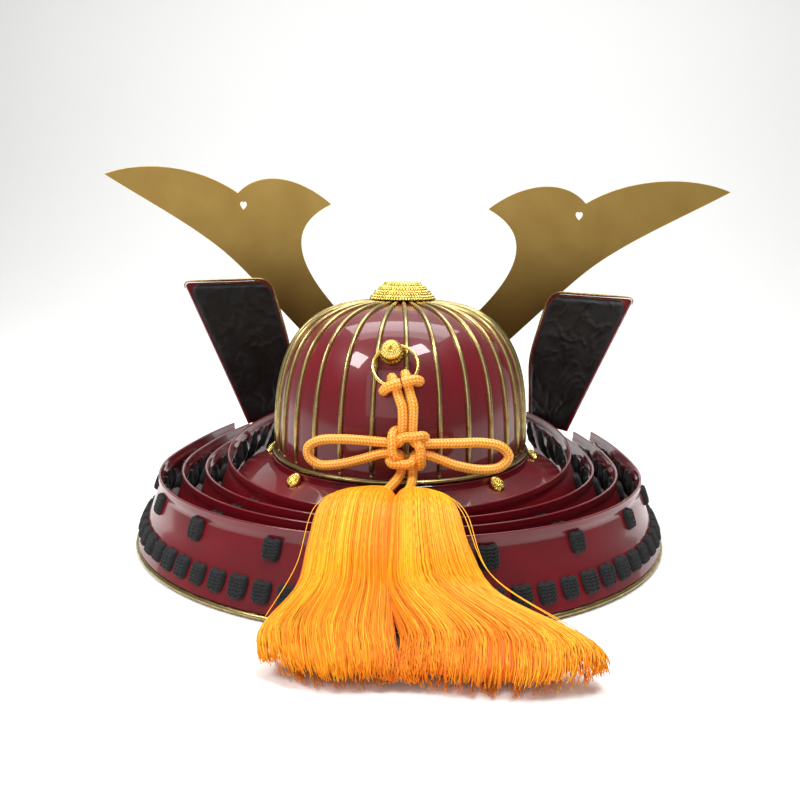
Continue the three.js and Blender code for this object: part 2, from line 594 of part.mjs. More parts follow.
// ---- knob, ring, knotted cord and tassels -------------------------------
function knobFrame() {
  const s = (KNOB.height - BOWL.base) / BOWL.height;
  const foot = onDome(0, s);
  const normal = onDome(0, s, 1).sub(foot).normalize();
  return { foot, normal, stem: foot.clone().addScaledVector(normal, 5.2) };
}

function knob() {
  const { foot, normal } = knobFrame();
  const base = chrysanthemum(KNOB.base, 2.6, 9);
  const head = chrysanthemum(KNOB.head, 5, 9).translate(0, 0, 6.9);
  const stem = new THREE.CylinderGeometry(KNOB.stem, KNOB.stem, 8.5, 10).rotateX(Math.PI / 2).translate(0, 0, 4.6);
  return standing(fuse(base, stem, head), foot.clone().addScaledVector(normal, FIT + 0.8), normal);
}

const ringHang = V3(...RING.hang).normalize();
const ringFoot = () => knobFrame().stem.addScaledVector(ringHang, 2 * RING.radius - KNOB.stem - RING.wire - FIT);
function carryingRing() {
  const { normal } = knobFrame();
  const middle = ringFoot().addScaledVector(ringHang, -RING.radius);
  const axis = normal.addScaledVector(ringHang, -normal.dot(ringHang));
  return standing(new THREE.TorusGeometry(RING.radius, RING.wire, 6, 20), middle, axis);
}

/** Point near the knot: right and up as seen from behind the helmet, near is towards the viewer. */
const knotPoint = ([right, near, up]) => V3(KNOT.x - right, KNOT.y + near, KNOT.z + up);

/** One strand through the knot: in beside its twin, over one side, behind the next, and out. */
function knotPass(quarterTurns) {
  const { reach: h, corner: c, layer: a, pair: p } = KNOT;
  const strand = [
    [p, 0, h], [0.5 * h, 0.42 * a, 0.6 * h], [0.84 * h, 0.97 * a, 0.42 * h], [h, a, 0], [h, a, -0.45 * h],
    [1.04 * h, 0.62 * a, -1.02 * h], [0.86 * h, -0.12 * a, -c], [0.5 * h, -0.86 * a, -1.12 * h], [0, -a, -h],
    [-0.42 * h, -0.97 * a, -0.84 * h], [-0.6 * h, -0.42 * a, -0.5 * h], [-h, 0, -p]];
  const turn = (quarterTurns * Math.PI) / 2;
  const [cos, sin] = [Math.round(Math.cos(turn)), Math.round(Math.sin(turn))];
  return strand.map(([x, near, z]) => [x * cos - z * sin, near, x * sin + z * cos]);
}

/** From the bar at the front of the hitch, round the ring's foot and down to the knot; side is 1 or -1. */
function hitch(side) {
  const foot = ringFoot();
  const local = [
    [0.45, 10.6, -3], [6, 10.4, -2.8], [10.6, 8.2, -2.4], [13.6, 3.4, -1.8], [13.4, -2.2, 0.4], [10.8, -5.4, 3],
    [8, -5.4, 4.6], [6, -3.2, 7.2], [5.2, 1.2, 7.6], [5, 4.8, 4.4], [4.5, 4.6, -3], [4.2, 3.2, -12], [4.1, 2.2, -19]];
  const near = knobFrame().normal;
  near.addScaledVector(ringHang, -near.dot(ringHang)).normalize();
  const right = near.clone().cross(ringHang);
  return local.map(([x, y, z]) => foot.clone().addScaledVector(right, x * side).addScaledVector(near, y)
    .addScaledVector(ringHang, -z));
}

/** Route of each half of the cord, from the ring down to its tassel. */
function cordRoutes() {
  const first = [...knotPass(0), ...EARS.left, ...knotPass(1), [4.4, 1.5, -19], [4.2, 9, -24], [2.8, 19.5, -27.5]];
  const second = [[-14, 19.5, -27.5], [-8.6, 9, -24], [-4.6, 1.5, -19], ...knotPass(2), ...EARS.right, ...knotPass(3)];
  return [
    [...hitch(1), ...first.map(knotPoint)],
    [...hitch(-1), ...second.reverse().map(knotPoint)]];
}

/** A tassel as flat locks side by side, fused along their length. */
function tassel(which) {
  const lockAt = (f, swell) => loft(TASSEL_SECTIONS.map(({ back, high, thick, [which]: [middle, width] }, i) => {
    const before = TASSEL_SECTIONS[Math.max(i - 1, 0)];
    const after = TASSEL_SECTIONS[Math.min(i + 1, TASSEL_SECTIONS.length - 1)];
    const fall = new THREE.Vector2(after.back - before.back, after.high - before.high).normalize();
    const half = (width / TASSEL_LOCKS) * 0.7;
    const across = middle + f * (width / 2 - half);
    const bulge = thick * (i === 0 ? 1 : swell) * (1 - 0.25 * f * f);
    return range(6).map((k) => {
      const angle = ((k + 0.5) * Math.PI) / 3;
      const lift = Math.sin(angle) * 0.54 * bulge;
      return V3(across + 1.08 * half * Math.cos(angle), back - fall.y * lift, high + fall.x * lift);
    });
  }));
  return fuse(...range(TASSEL_LOCKS).map((i) => lockAt((2 * i) / (TASSEL_LOCKS - 1) - 1, i % 2 ? 1 : 0.9)));
}

function tasselledCord() {
  place('knob', knob(), GOLD);
  place('carrying_ring', carryingRing(), GOLD);
  cordRoutes().forEach((points, i) => (
    place(`knot_cord_${i + 1}`, tube(points, CORD.radius, CORD.sides, CORD.steps), ORANGE_SILK)));
  ['first', 'second'].forEach((which, i) => place(`tassel_${i + 1}`, tassel(which), ORANGE_SILK));
}

function bowlAndSkirt() {
  place('bowl', bowl(), RED);
  place('bowl_ribs', ribCage(), OLD_BRASS);
  place('top_ornament', topOrnament(), GOLD);
  place('skirt', skirt(), RED);
  place('visor', visor(), RED);
  RIVETS.angles.forEach((degrees, i) => place(`skirt_rivet_${i + 1}`, skirtRivet(rad(degrees)), GOLD));
}

bowlAndSkirt();
neckGuard();
flaps();
crest();
tasselledCord();

export default kabuto;
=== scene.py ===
"""A samurai helmet (kabuto) that rests on the rim of its neck guard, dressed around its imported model.

Shapes are worked out in millimetres about the middle of the bowl, with X across and the back of the
neck at +Y. They become metres in the row frame when a piece is made.
"""
from __future__ import annotations

import logging
import math
from dataclasses import dataclass, field
from enum import Enum
from functools import cache
from typing import Callable, Sequence

import bmesh
import bpy
import numpy as np
from mathutils import Matrix, Quaternion, Vector, noise


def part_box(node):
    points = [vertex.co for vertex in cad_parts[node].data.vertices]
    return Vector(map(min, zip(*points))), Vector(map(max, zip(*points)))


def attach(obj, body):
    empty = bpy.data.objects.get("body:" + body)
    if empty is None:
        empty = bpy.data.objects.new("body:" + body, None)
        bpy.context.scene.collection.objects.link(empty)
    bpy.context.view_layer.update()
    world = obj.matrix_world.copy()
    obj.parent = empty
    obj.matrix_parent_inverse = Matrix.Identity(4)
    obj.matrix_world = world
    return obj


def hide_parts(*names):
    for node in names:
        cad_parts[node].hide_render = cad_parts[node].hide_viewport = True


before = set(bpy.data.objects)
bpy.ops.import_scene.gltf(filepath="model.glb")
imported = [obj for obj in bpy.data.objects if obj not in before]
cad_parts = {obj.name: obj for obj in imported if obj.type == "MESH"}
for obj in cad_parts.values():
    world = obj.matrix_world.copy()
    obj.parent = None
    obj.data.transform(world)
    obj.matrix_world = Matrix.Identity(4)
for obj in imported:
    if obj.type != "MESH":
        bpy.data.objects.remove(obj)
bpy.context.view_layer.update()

LOG = logging.getLogger("kabuto")
MM = 0.001
BODY = "root"
SEED = 11
TURN = 2 * math.pi
UP = np.array([0.0, 0.0, 1.0])
Array = np.ndarray


# ---- numbers and frames --------------------------------------------------------------------------
def bowl_middle() -> float:
    """Y of the bowl's middle in the row frame, in millimetres."""
    low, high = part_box("bowl")
    return (low.y + high.y) / 2 / MM


MIDDLE_Y = bowl_middle()


def to_metres(points: Array) -> Array:
    """Millimetres about the bowl's middle to metres in the row frame."""
    return (np.asarray(points, float) + np.array([0.0, MIDDLE_Y, 0.0])) * MM


def unit(v: Array) -> Array:
    """The same direction with length 1."""
    v = np.asarray(v, float)
    return v / np.maximum(np.linalg.norm(v, axis=-1, keepdims=True), 1e-12)


def circle(count: int) -> Array:
    """Angles evenly spaced round one turn."""
    return np.linspace(0, TURN, count, endpoint=False)


def run_along(line: Array) -> Array:
    """Distance along a line at each of its points."""
    return np.concatenate([[0], np.cumsum(np.linalg.norm(np.diff(line, axis=0), axis=1))])


def placed(name: str, data: bpy.types.ID) -> bpy.types.Object:
    """A new object that holds some data, linked to the scene."""
    thing = bpy.data.objects.new(name, data)
    bpy.context.scene.collection.objects.link(thing)
    return thing


def tinted(name: str, points: Array, edges: Sequence, faces: Sequence,
           tint: Array | float) -> bpy.types.Mesh:
    """Mesh data of points in metres, with a value of tone and painted light for each of them."""
    mesh = bpy.data.meshes.new(name)
    mesh.from_pydata(points.tolist(), edges, faces)
    values = np.broadcast_to(np.asarray(tint, np.float32), len(points)).copy()
    # The per-point value holds real tone, and also painted highlight and painted shade where a piece stores
    # them.
    mesh.attributes.new("tint", "FLOAT", "POINT").data.foreach_set("value", values)
    return mesh


def face_out(mesh: bpy.types.Mesh, weld: float = 0.0) -> None:
    """Turns a mesh's faces outwards, after welding points closer than a distance in metres."""
    whole = bmesh.new()
    whole.from_mesh(mesh)
    if weld:
        bmesh.ops.remove_doubles(whole, verts=whole.verts, dist=weld)
    bmesh.ops.recalc_face_normals(whole, faces=whole.faces)
    whole.to_mesh(mesh)
    whole.free()


def linear(hex_colour: str) -> tuple[float, float, float, float]:
    """Linear RGBA of an sRGB hex colour.

    Args:
        hex_colour: such as "#73141a".

    Returns:
        Four numbers for a colour socket.
    """
    parts = [int(hex_colour[i:i + 2], 16) / 255 for i in (1, 3, 5)]
    return (*[c / 12.92 if c <= 0.04045 else ((c + 0.055) / 1.055) ** 2.4 for c in parts], 1.0)


# ---- finishes ------------------------------------------------------------------------------------
class Side(Enum):
    """A side of the helmet as its front shows it, with the sign of its X."""

    RIGHT = ("right", 1.0)
    LEFT = ("left", -1.0)

    @property
    def label(self) -> str:
        """The side's name."""
        return self.value[0]

    @property
    def sign(self) -> float:
        """The sign of X on this side."""
        return self.value[1]


def add_node(tree: bpy.types.NodeTree, kind: str, settings: dict | None = None,
             links: dict | None = None) -> bpy.types.Node:
    """Adds one node.

    Args:
        tree: the node tree that it goes into.
        kind: the node's type name.
        settings: attribute names or input names with their values.
        links: input names with the output sockets that feed them.

    Returns:
        The new node.
    """
    node = tree.nodes.new(kind)
    for name, value in (settings or {}).items():
        if isinstance(name, str) and hasattr(node, name):
            setattr(node, name, value)
        else:
            node.inputs[name].default_value = value
    for name, socket in (links or {}).items():
        tree.links.new(socket, node.inputs[name])
    return node


def remap(tree: bpy.types.NodeTree, value: bpy.types.NodeSocket, low: float, high: float,
          to: tuple[float, float] = (0.0, 1.0), curve: str = "LINEAR") -> bpy.types.NodeSocket:
    """A value carried from one range to another."""
    return add_node(tree, "ShaderNodeMapRange", {
        "From Min": low, "From Max": high, "To Min": to[0], "To Max": to[1], "interpolation_type": curve},
        {"Value": value}).outputs["Result"]


def blend(tree: bpy.types.NodeTree, share: bpy.types.NodeSocket, first: str | bpy.types.NodeSocket,
          second: str | bpy.types.NodeSocket) -> bpy.types.NodeSocket:
    """A mix of two colours by a share.

    Args:
        tree: the material's node tree.
        share: how much of the second colour shows.
        first: a hex colour or a socket.
        second: a hex colour or a socket.

    Returns:
        The mixed colour's socket.
    """
    mix = add_node(tree, "ShaderNodeMix", {"data_type": "RGBA"}, {0: share})
    for slot, colour in ((6, first), (7, second)):
        if isinstance(colour, str):
            mix.inputs[slot].default_value = linear(colour)
        else:
            tree.links.new(colour, mix.inputs[slot])
    return mix.outputs[2]


def new_material(name: str) -> tuple[bpy.types.Material, bpy.types.NodeTree, bpy.types.Node]:
    """A new material with its tree and its Principled shader."""
    material = bpy.data.materials.new(name)
    material.use_nodes = True
    return material, material.node_tree, material.node_tree.nodes["Principled BSDF"]


@dataclass(frozen=True)
class Finish:
    """A surface finish: a Principled shader whose colour, roughness and bump come from procedural patterns.

    Colours are sRGB hex, pattern sizes are millimetres, relief is millimetres of bump. A second colour can
    be blended in towards low heights as painted shade, between two heights in millimetres.
    """

    name: str
    slot: str
    colour: str
    shade: str
    roughness: float
    metallic: float = 0.0
    coat: float = 0.0
    coat_roughness: float = 0.03
    sheen: float = 0.0
    sheen_roughness: float = 0.35
    mottle_mm: float = 20.0
    mottle: float = 0.35
    roughness_spread: float = 0.05
    grain_mm: tuple[float, float, float] = (2.0, 2.0, 2.0)
    relief: float = 0.0
    # Bright and deep colours that each point's stored value mixes between: real thread tone, and painted
    # highlight and painted shade where a mesh stores them.
    tint: str = ""
    tint_low: str = ""
    ior: float = 1.5
    # Painted shade: a darker colour blended in towards low heights, and the two heights in millimetres over
    # which it gives way to the finish's own colour.
    fade: str = ""
    fade_mm: tuple[float, float] = (0.0, 1.0)

    def material(self) -> bpy.types.Material:
        """The Blender material, made once."""
        found = bpy.data.materials.get(self.name)
        if found:
            return found
        material, tree, shader = new_material(self.name)
        values = {"Metallic": self.metallic, "Coat Weight": self.coat, "Coat Roughness": self.coat_roughness,
                  "Sheen Weight": self.sheen, "Sheen Roughness": self.sheen_roughness}
        if not self.metallic:
            values["IOR"] = self.ior
        for name, value in values.items():
            shader.inputs[name].default_value = value
        place = add_node(tree, "ShaderNodeTexCoord")
        blotch = add_node(tree, "ShaderNodeTexNoise", {"Scale": 1 / (self.mottle_mm * MM), "Detail": 4.0},
                          {"Vector": place.outputs["Object"]}).outputs["Fac"]
        colour = blend(tree, remap(tree, blotch, 0.35, 0.68, (0.0, self.mottle)), self.colour, self.shade)
        # Painted light: the stored value mixes from the deep colour to the bright one, painting highlight
        # and shade where a mesh stores them.
        if self.tint:
            tint = add_node(tree, "ShaderNodeAttribute", {"attribute_name": "tint"}).outputs["Fac"]
            colour = blend(tree, tint, self.tint_low, colour)
            colour = blend(tree, remap(tree, tint, 0.6, 1.0, (0.0, 0.85)), colour, self.tint)
        # Painted shade: the colour turns darker towards low heights, standing in for a dark reflection.
        if self.fade:
            axes = add_node(tree, "ShaderNodeSeparateXYZ", {}, {"Vector": place.outputs["Object"]})
            low, high = (edge * MM for edge in self.fade_mm)
            colour = blend(tree, remap(tree, axes.outputs["Z"], low, high, curve="SMOOTHSTEP"), self.fade,
                           colour)
        tree.links.new(colour, shader.inputs["Base Color"])
        ends = (self.roughness - self.roughness_spread, self.roughness + self.roughness_spread)
        tree.links.new(remap(tree, blotch, 0.3, 0.7, ends), shader.inputs["Roughness"])
        if self.relief:
            stretch = add_node(tree, "ShaderNodeMapping", {}, {"Vector": place.outputs["Object"]})
            stretch.inputs["Scale"].default_value = [1 / (g * MM) for g in self.grain_mm]
            grain = add_node(tree, "ShaderNodeTexNoise", {"Scale": 1.0, "Detail": 3.0},
                             {"Vector": stretch.outputs["Vector"]})
            bump = add_node(tree, "ShaderNodeBump", {"Distance": self.relief * MM, "Strength": 1.0},
                            {"Height": grain.outputs["Fac"]})
            tree.links.new(bump.outputs["Normal"], shader.inputs["Normal"])
        return material


# Urushi lacquer: pigment under a clear gloss coat, so it is a deep red with sharp window-like reflections.
RED_LACQUER = Finish("red_gloss_lacquer", "red_lacquer", "#6e0a16", "#520710", 0.42, coat=0.6,
                     mottle_mm=60, mottle=0.6, relief=0.012, grain_mm=(14, 14, 14), ior=1.32)
# Antiqued brass wire: yellow on the crests, brown where the patina stays.
OLD_BRASS = Finish("antiqued_brass", "old_brass", "#b09c68", "#7a6a40", 0.3, metallic=1.0, mottle_mm=9,
                   mottle=0.6, roughness_spread=0.06, relief=0.008, grain_mm=(0.8, 0.8, 0.8))
# Gilt cast brass: pale and bright, with darker yellow in random blotches about 3 mm across.
GILT = Finish("gilt_cast_brass", "bright_gold", "#f6df82", "#cfa238", 0.25, metallic=1.0, mottle_mm=3,
              mottle=0.6, roughness_spread=0.08, relief=0.03, grain_mm=(0.6, 0.6, 0.6))
# Satin brushed brass sheet with soft, wide reflections. Its colour darkens towards the horn's roots as
# painted shade, a painted reflection of a dark room; the real sheet is one even gold.
SATIN_BRASS = Finish("satin_brass_sheet", "satin_gold", "#a1854a", "#8e7038", 0.5, metallic=1.0,
                     mottle_mm=45, mottle=0.6, roughness_spread=0.04, relief=0.004, grain_mm=(8, 8, 0.5),
                     fade="#4e3818", fade_mm=(150, 305))
# The sheet's cut edge: its near-white colour is a painted highlight, the bright line along the edge.
BRASS_EDGE_PAINTED_HIGHLIGHT = Finish("brass_edge_painted_highlight", "satin_gold", "#fff4b4", "#f6dc80", 0.3, metallic=1.0,
                       mottle_mm=9)
# Round braid of dull black cord, drawn into flat blocks.
BLACK_BRAID = Finish("black_braided_cord", "black_lacing", "#0d0e11", "#050607", 0.8, sheen=0.06,
                     mottle_mm=3, relief=0.08, grain_mm=(0.7, 0.7, 0.7))
# Crinkled black paper-leather: soft highlights on each crease.
BLACK_LINING = Finish("black_crinkled_leather", "black_lining", "#040505", "#0a0b0c", 0.5, mottle_mm=18,
                      mottle=0.6, roughness_spread=0.1, relief=0.12, grain_mm=(1.6, 1.6, 1.6))
# Round silk braid, eight strands: a painted highlight on the crowns of the strands, and painted shade, deep
# orange, between them.
SILK_BRAID = Finish("braided_silk_cord", "orange_cord", "#ffb02c", "#ffa31c", 0.42, sheen=0.05,
                    mottle_mm=9, mottle=0.4, tint="#ffe07c", tint_low="#d4690a", relief=0.03,
                    grain_mm=(0.4, 0.4, 0.4))
# Loose silk threads: each thread has its own tone, and together they shine across the fall. The deep colour
# also paints shade where the two tassels meet and on the core inside them.
SILK_THREADS = Finish("loose_silk_threads", "orange_silk", "#ffab04", "#fb9a02", 0.42, sheen=0.03,
                      mottle_mm=24, mottle=0.6, tint="#ffd430", tint_low="#e86200", ior=1.35)


# ---- meshes --------------------------------------------------------------------------------------
@dataclass
class Mesh:
    """Points in millimetres about the bowl's middle, and faces; several bodies may be gathered in one."""

    points: list = field(default_factory=list)
    faces: list = field(default_factory=list)
    # Values of tone and painted light, one for each point.
    tints: list = field(default_factory=list)

    def add(self, points: Array, faces: Sequence[Sequence[int]], tint: Array | float = 0.5) -> "Mesh":
        """Adds points and the faces between them, with a value of tone and painted light for each point."""
        start = len(self.points)
        points = np.asarray(points, float).reshape(-1, 3)
        self.points.extend(points.tolist())
        self.faces.extend([[i + start for i in f] for f in faces])
        self.tints.extend(np.broadcast_to(np.asarray(tint, float), (len(points),)).tolist())
        return self

    def loft(self, rings: Array, loop: bool = False, tint: Array | float = 0.5) -> "Mesh":
        """Adds a body through rings of equal counts of points.

        Args:
            rings: rows of points, an array of rings by corners by 3.
            loop: the last ring joins the first; otherwise both ends get a face.
            tint: one value of tone and painted light, or one for each point.

        Returns:
            The mesh itself.
        """
        rings = np.asarray(rings, float)
        count, corners = rings.shape[:2]
        faces = []
        for r in range(count if loop else count - 1):
            s = (r + 1) % count
            for i in range(corners):
                j = (i + 1) % corners
                faces.append((r * corners + i, r * corners + j, s * corners + j, s * corners + i))
        if not loop:
            faces.append(tuple(range(corners))[::-1])
            faces.append(tuple((count - 1) * corners + i for i in range(corners)))
        return self.add(rings.reshape(-1, 3), faces, np.reshape(tint, -1) if np.ndim(tint) else tint)

    def piece(self, name: str, finish: Finish, sharp: float = 40.0) -> bpy.types.Object:
        """Makes the Blender object, at the origin, with its faces pointing out.

        Args:
            name: the piece's name.
            finish: its finish.
            sharp: edges over this angle, in degrees, stay sharp.

        Returns:
            The object, linked to the scene.
        """
        mesh = tinted(name, to_metres(np.array(self.points)), [], self.faces, self.tints)
        face_out(mesh)
        return link(name, mesh, finish, sharp)

    def seat(self, name: str, finish: Finish, *nodes: str, sharp: float = 40.0) -> bpy.types.Object:
        """Makes the piece and seats it for the solids that it stands for."""
        return seat(self.piece(name, finish, sharp), finish, *nodes)


def link(name: str, mesh: bpy.types.Mesh, finish: Finish, sharp: float = 40.0) -> bpy.types.Object:
    """Links a mesh as an object with a finish and smooth faces between its sharp edges."""
    if not mesh.materials:
        mesh.materials.append(finish.material())
    mesh.shade_smooth()
    mesh.set_sharp_from_angle(angle=math.radians(sharp))
    return placed(name, mesh)


def seat(piece: bpy.types.Object, finish: Finish, *nodes: str) -> bpy.types.Object:
    """Makes a finished piece ride on the helmet and stand for its solids."""
    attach(piece, BODY)
    if nodes:
        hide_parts(*nodes)
    LOG.info("%s: %d faces", piece.name, len(piece.data.polygons))
    return piece


def turned(points: Array, origin: Array, out: Array, up: Array) -> Array:
    """Points drawn with x across, y up and z out, set at an origin with those directions."""
    z = unit(out)
    x = unit(np.cross(up, z))
    y = np.cross(z, x)
    return np.asarray(points, float) @ np.stack([x, y, z]) + np.asarray(origin, float)


def relief_disc(radius: float, height: Callable[[Array, Array], Array], edge: Callable[[Array], Array],
                rings: int = 22, sides: int = 108, foot: float = -0.4) -> tuple[Array, list]:
    """A round boss drawn as a relief over its own disc, with a flat foot.

    Args:
        radius: its outer radius.
        height: height at a share of the radius and an angle.
        edge: share of the radius that the outline reaches at an angle.
        rings: rows of faces from the middle out.
        sides: faces round it.
        foot: height of its flat foot.

    Returns:
        Points and faces.
    """
    angle = circle(sides)
    rows = []
    for share in np.linspace(1, 0.03, rings):
        reach = radius * share * edge(angle)
        rows.append(np.stack([reach * np.cos(angle), reach * np.sin(angle), height(share, angle)], -1))
    low = rows[0].copy()
    low[:, 2] = foot
    body = Mesh().loft(np.array([low] + rows))
    return np.array(body.points), body.faces


# ---- Geometry Nodes ------------------------------------------------------------------------------
def new_tree(name: str, inputs: dict[str, str]) -> tuple[bpy.types.NodeTree, dict[str, str], bpy.types.Node]:
    """A Geometry Nodes tree with a mesh input and more named ones.

    Args:
        name: the tree's name.
        inputs: input names with their socket types.

    Returns:
        The tree, the inputs' identifiers by name, and the tree's input node.
    """
    tree = bpy.data.node_groups.new(name, "GeometryNodeTree")
    tree.interface.new_socket("Geometry", in_out="INPUT", socket_type="NodeSocketGeometry")
    sockets = {key: tree.interface.new_socket(key, in_out="INPUT", socket_type=kind).identifier
               for key, kind in inputs.items()}
    tree.interface.new_socket("Geometry", in_out="OUTPUT", socket_type="NodeSocketGeometry")
    return tree, sockets, tree.nodes.new("NodeGroupInput")


def finish_tree(tree: bpy.types.NodeTree, start: bpy.types.Node, geometry: bpy.types.NodeSocket) -> None:
    """Ends a tree in Realize Instances and Set Material."""
    whole = add_node(tree, "GeometryNodeRealizeInstances", {}, {"Geometry": geometry})
    dressed = add_node(tree, "GeometryNodeSetMaterial", {}, {
        "Geometry": whole.outputs["Geometry"], "Material": start.outputs["Finish"]})
    out = tree.nodes.new("NodeGroupOutput")
    tree.links.new(dressed.outputs["Geometry"], out.inputs[0])


@cache
def set_out_tree() -> tuple[bpy.types.NodeTree, dict[str, str]]:
    """Tree that sets a copy of one shape on each point, turned and sized by the point's own attributes."""
    tree, sockets, start = new_tree("set_out", {
        "Shape": "NodeSocketObject", "Size": "NodeSocketFloat", "Finish": "NodeSocketMaterial"})
    shape = add_node(tree, "GeometryNodeObjectInfo", {}, {"Object": start.outputs["Shape"]})
    turn = add_node(tree, "GeometryNodeInputNamedAttribute", {"data_type": "QUATERNION", "Name": "turn"})
    share = add_node(tree, "GeometryNodeInputNamedAttribute", {"data_type": "FLOAT", "Name": "share"})
    size = add_node(tree, "ShaderNodeMath", {"operation": "MULTIPLY"},
                    {0: share.outputs["Attribute"], 1: start.outputs["Size"]})
    copies = add_node(tree, "GeometryNodeInstanceOnPoints", {}, {
        "Points": start.outputs["Geometry"], "Instance": shape.outputs["Geometry"],
        "Rotation": turn.outputs["Attribute"], "Scale": size.outputs["Value"]})
    finish_tree(tree, start, copies.outputs["Instances"])
    return tree, sockets


@cache
def threads_tree() -> tuple[bpy.types.NodeTree, dict[str, str]]:
    """Tree that gives each line of a wire mesh a round section of one radius."""
    tree, sockets, start = new_tree("threads", {
        "Radius": "NodeSocketFloat", "Sides": "NodeSocketInt", "Finish": "NodeSocketMaterial"})
    line = add_node(tree, "GeometryNodeMeshToCurve", {}, {"Mesh": start.outputs["Geometry"]})
    section = add_node(tree, "GeometryNodeCurvePrimitiveCircle", {}, {
        "Resolution": start.outputs["Sides"], "Radius": start.outputs["Radius"]})
    rods = add_node(tree, "GeometryNodeCurveToMesh", {"Fill Caps": True}, {
        "Curve": line.outputs["Curve"], "Profile Curve": section.outputs["Curve"]})
    finish_tree(tree, start, rods.outputs["Mesh"])
    return tree, sockets


def run_tree(name: str, seed: bpy.types.Mesh, tree: bpy.types.NodeTree, values: dict, finish: Finish,
             sharp: float = 50.0) -> bpy.types.Object:
    """Runs a tree on a seed mesh and keeps the result as a plain mesh.

    Args:
        name: the new piece's name.
        seed: the mesh of points or lines that the tree starts from.
        tree: the Geometry Nodes tree.
        values: the modifier's values by socket identifier.
        finish: the piece's finish.
        sharp: edges over this angle stay sharp.

    Returns:
        The piece, at the origin.
    """
    holder = placed(name + "_seed", seed)
    modifier = holder.modifiers.new("tree", "NODES")
    modifier.node_group = tree
    for key, value in values.items():
        modifier[key] = value
    evaluated = holder.evaluated_get(bpy.context.evaluated_depsgraph_get())
    mesh = bpy.data.meshes.new_from_object(evaluated)
    holder.modifiers.remove(modifier)
    bpy.data.objects.remove(holder)
    return link(name, mesh, finish, sharp)


@dataclass
class Spot:
    """A place for one copy: its point, its outward and upward directions, and its size."""

    point: Array
    out: Array
    up: Array
    size: float = 1.0


def set_out(name: str, shape: tuple[Array, list], spots: Sequence[Spot], finish: Finish,
            tint: Array | float = 0.5) -> bpy.types.Object:
    """Sets copies of a shape at many spots with Geometry Nodes.

    Args:
        name: the new piece's name.
        shape: points in millimetres and faces, drawn x across, y up, z out.
        spots: where the copies go.
        finish: their finish.
        tint: the shape's values of tone and painted light.

    Returns:
        One plain mesh of all the copies.
    """
    source_mesh = tinted(name + "_shape", np.asarray(shape[0]) * MM, [], shape[1], tint)
    source_mesh.shade_smooth()
    source = placed(name + "_shape", source_mesh)
    seed = bpy.data.meshes.new(name + "_points")
    seed.from_pydata(to_metres(np.array([s.point for s in spots])).tolist(), [], [])
    turns = []
    for spot in spots:
        z = unit(spot.out)
        x = unit(np.cross(spot.up, z))
        turns.extend(Matrix(np.stack([x, np.cross(z, x), z], 1).tolist()).to_quaternion())
    seed.attributes.new("turn", "QUATERNION", "POINT").data.foreach_set("value", turns)
    seed.attributes.new("share", "FLOAT", "POINT").data.foreach_set("value", [spot.size for spot in spots])
    tree, ids = set_out_tree()
    piece = run_tree(name, seed, tree, {
        ids["Shape"]: source, ids["Size"]: 1.0, ids["Finish"]: finish.material()}, finish)
    bpy.data.objects.remove(source)
    return piece


def strands(name: str, lines: Sequence[Array], tints: Sequence[float | Array], radius: float, sides: int,
            finish: Finish) -> bpy.types.Object:
    """Round threads along many lines with Geometry Nodes.

    Args:
        name: the new piece's name.
        lines: rows of points, in millimetres.
        tints: for each line one value of tone and painted light, or one for each of its points.
        radius: a thread's radius in millimetres.
        sides: faces round a thread.
        finish: their finish.

    Returns:
        One plain mesh of all the threads.
    """
    points, edges, shades = [], [], []
    for row, shade in zip(lines, tints):
        start = len(points)
        points.extend(np.asarray(row).tolist())
        edges.extend((start + i, start + i + 1) for i in range(len(row) - 1))
        shades.extend(np.broadcast_to(shade, len(row)))
    seed = tinted(name + "_lines", to_metres(np.array(points)), edges, [], shades)
    tree, ids = threads_tree()
    return run_tree(name, seed, tree, {ids["Radius"]: radius * MM, ids["Sides"]: sides,
                                       ids["Finish"]: finish.material()}, finish, sharp=180.0)


def joined(name: str, first: bpy.types.Object, *others: bpy.types.Object) -> bpy.types.Object:
    """Joins pieces into one mesh that keeps the first one's materials."""
    whole = bmesh.new()
    for piece in (first, *others):
        whole.from_mesh(piece.data)
    materials = list(first.data.materials)
    for piece in (first, *others):
        bpy.data.objects.remove(piece)
    mesh = bpy.data.meshes.new(name)
    whole.to_mesh(mesh)
    whole.free()
    for material in materials:
        mesh.materials.append(material)
    return placed(name, mesh)


# ---- plans and lines -----------------------------------------------------------------------------
@dataclass(frozen=True)
class Plan:
    """An oval seen from above: half its width, and its reach to the back and to the front."""

    half_width: float
    back: float
    front: float

    def point(self, angle: float, offset: float = 0.0, z: float = 0.0) -> Array:
        """Point at an angle from the back towards +X, moved outwards by an offset."""
        length = self.back if math.cos(angle) >= 0 else self.front
        out = self.outward(angle)
        return np.array([self.half_width * math.sin(angle) + offset * out[0],
                         length * math.cos(angle) + offset * out[1], z])

    def outward(self, angle: float) -> Array:
        """Outward direction at an angle."""
        length = self.back if math.cos(angle) >= 0 else self.front
        return unit(np.array([length * math.sin(angle), self.half_width * math.cos(angle), 0.0]))


def sweep(plan: Plan, section: Callable[[float], Sequence[tuple[float, float]]], start: float, end: float,
          steps: int, loop: bool = False) -> Array:
    """Rings of a closed section of (offset, z) corners carried along a plan between two angles."""
    count = steps if loop else steps + 1
    angles = [start + (end - start) * i / steps for i in range(count)]
    return np.array([[plan.point(a, o, z) for o, z in section(a)] for a in angles])


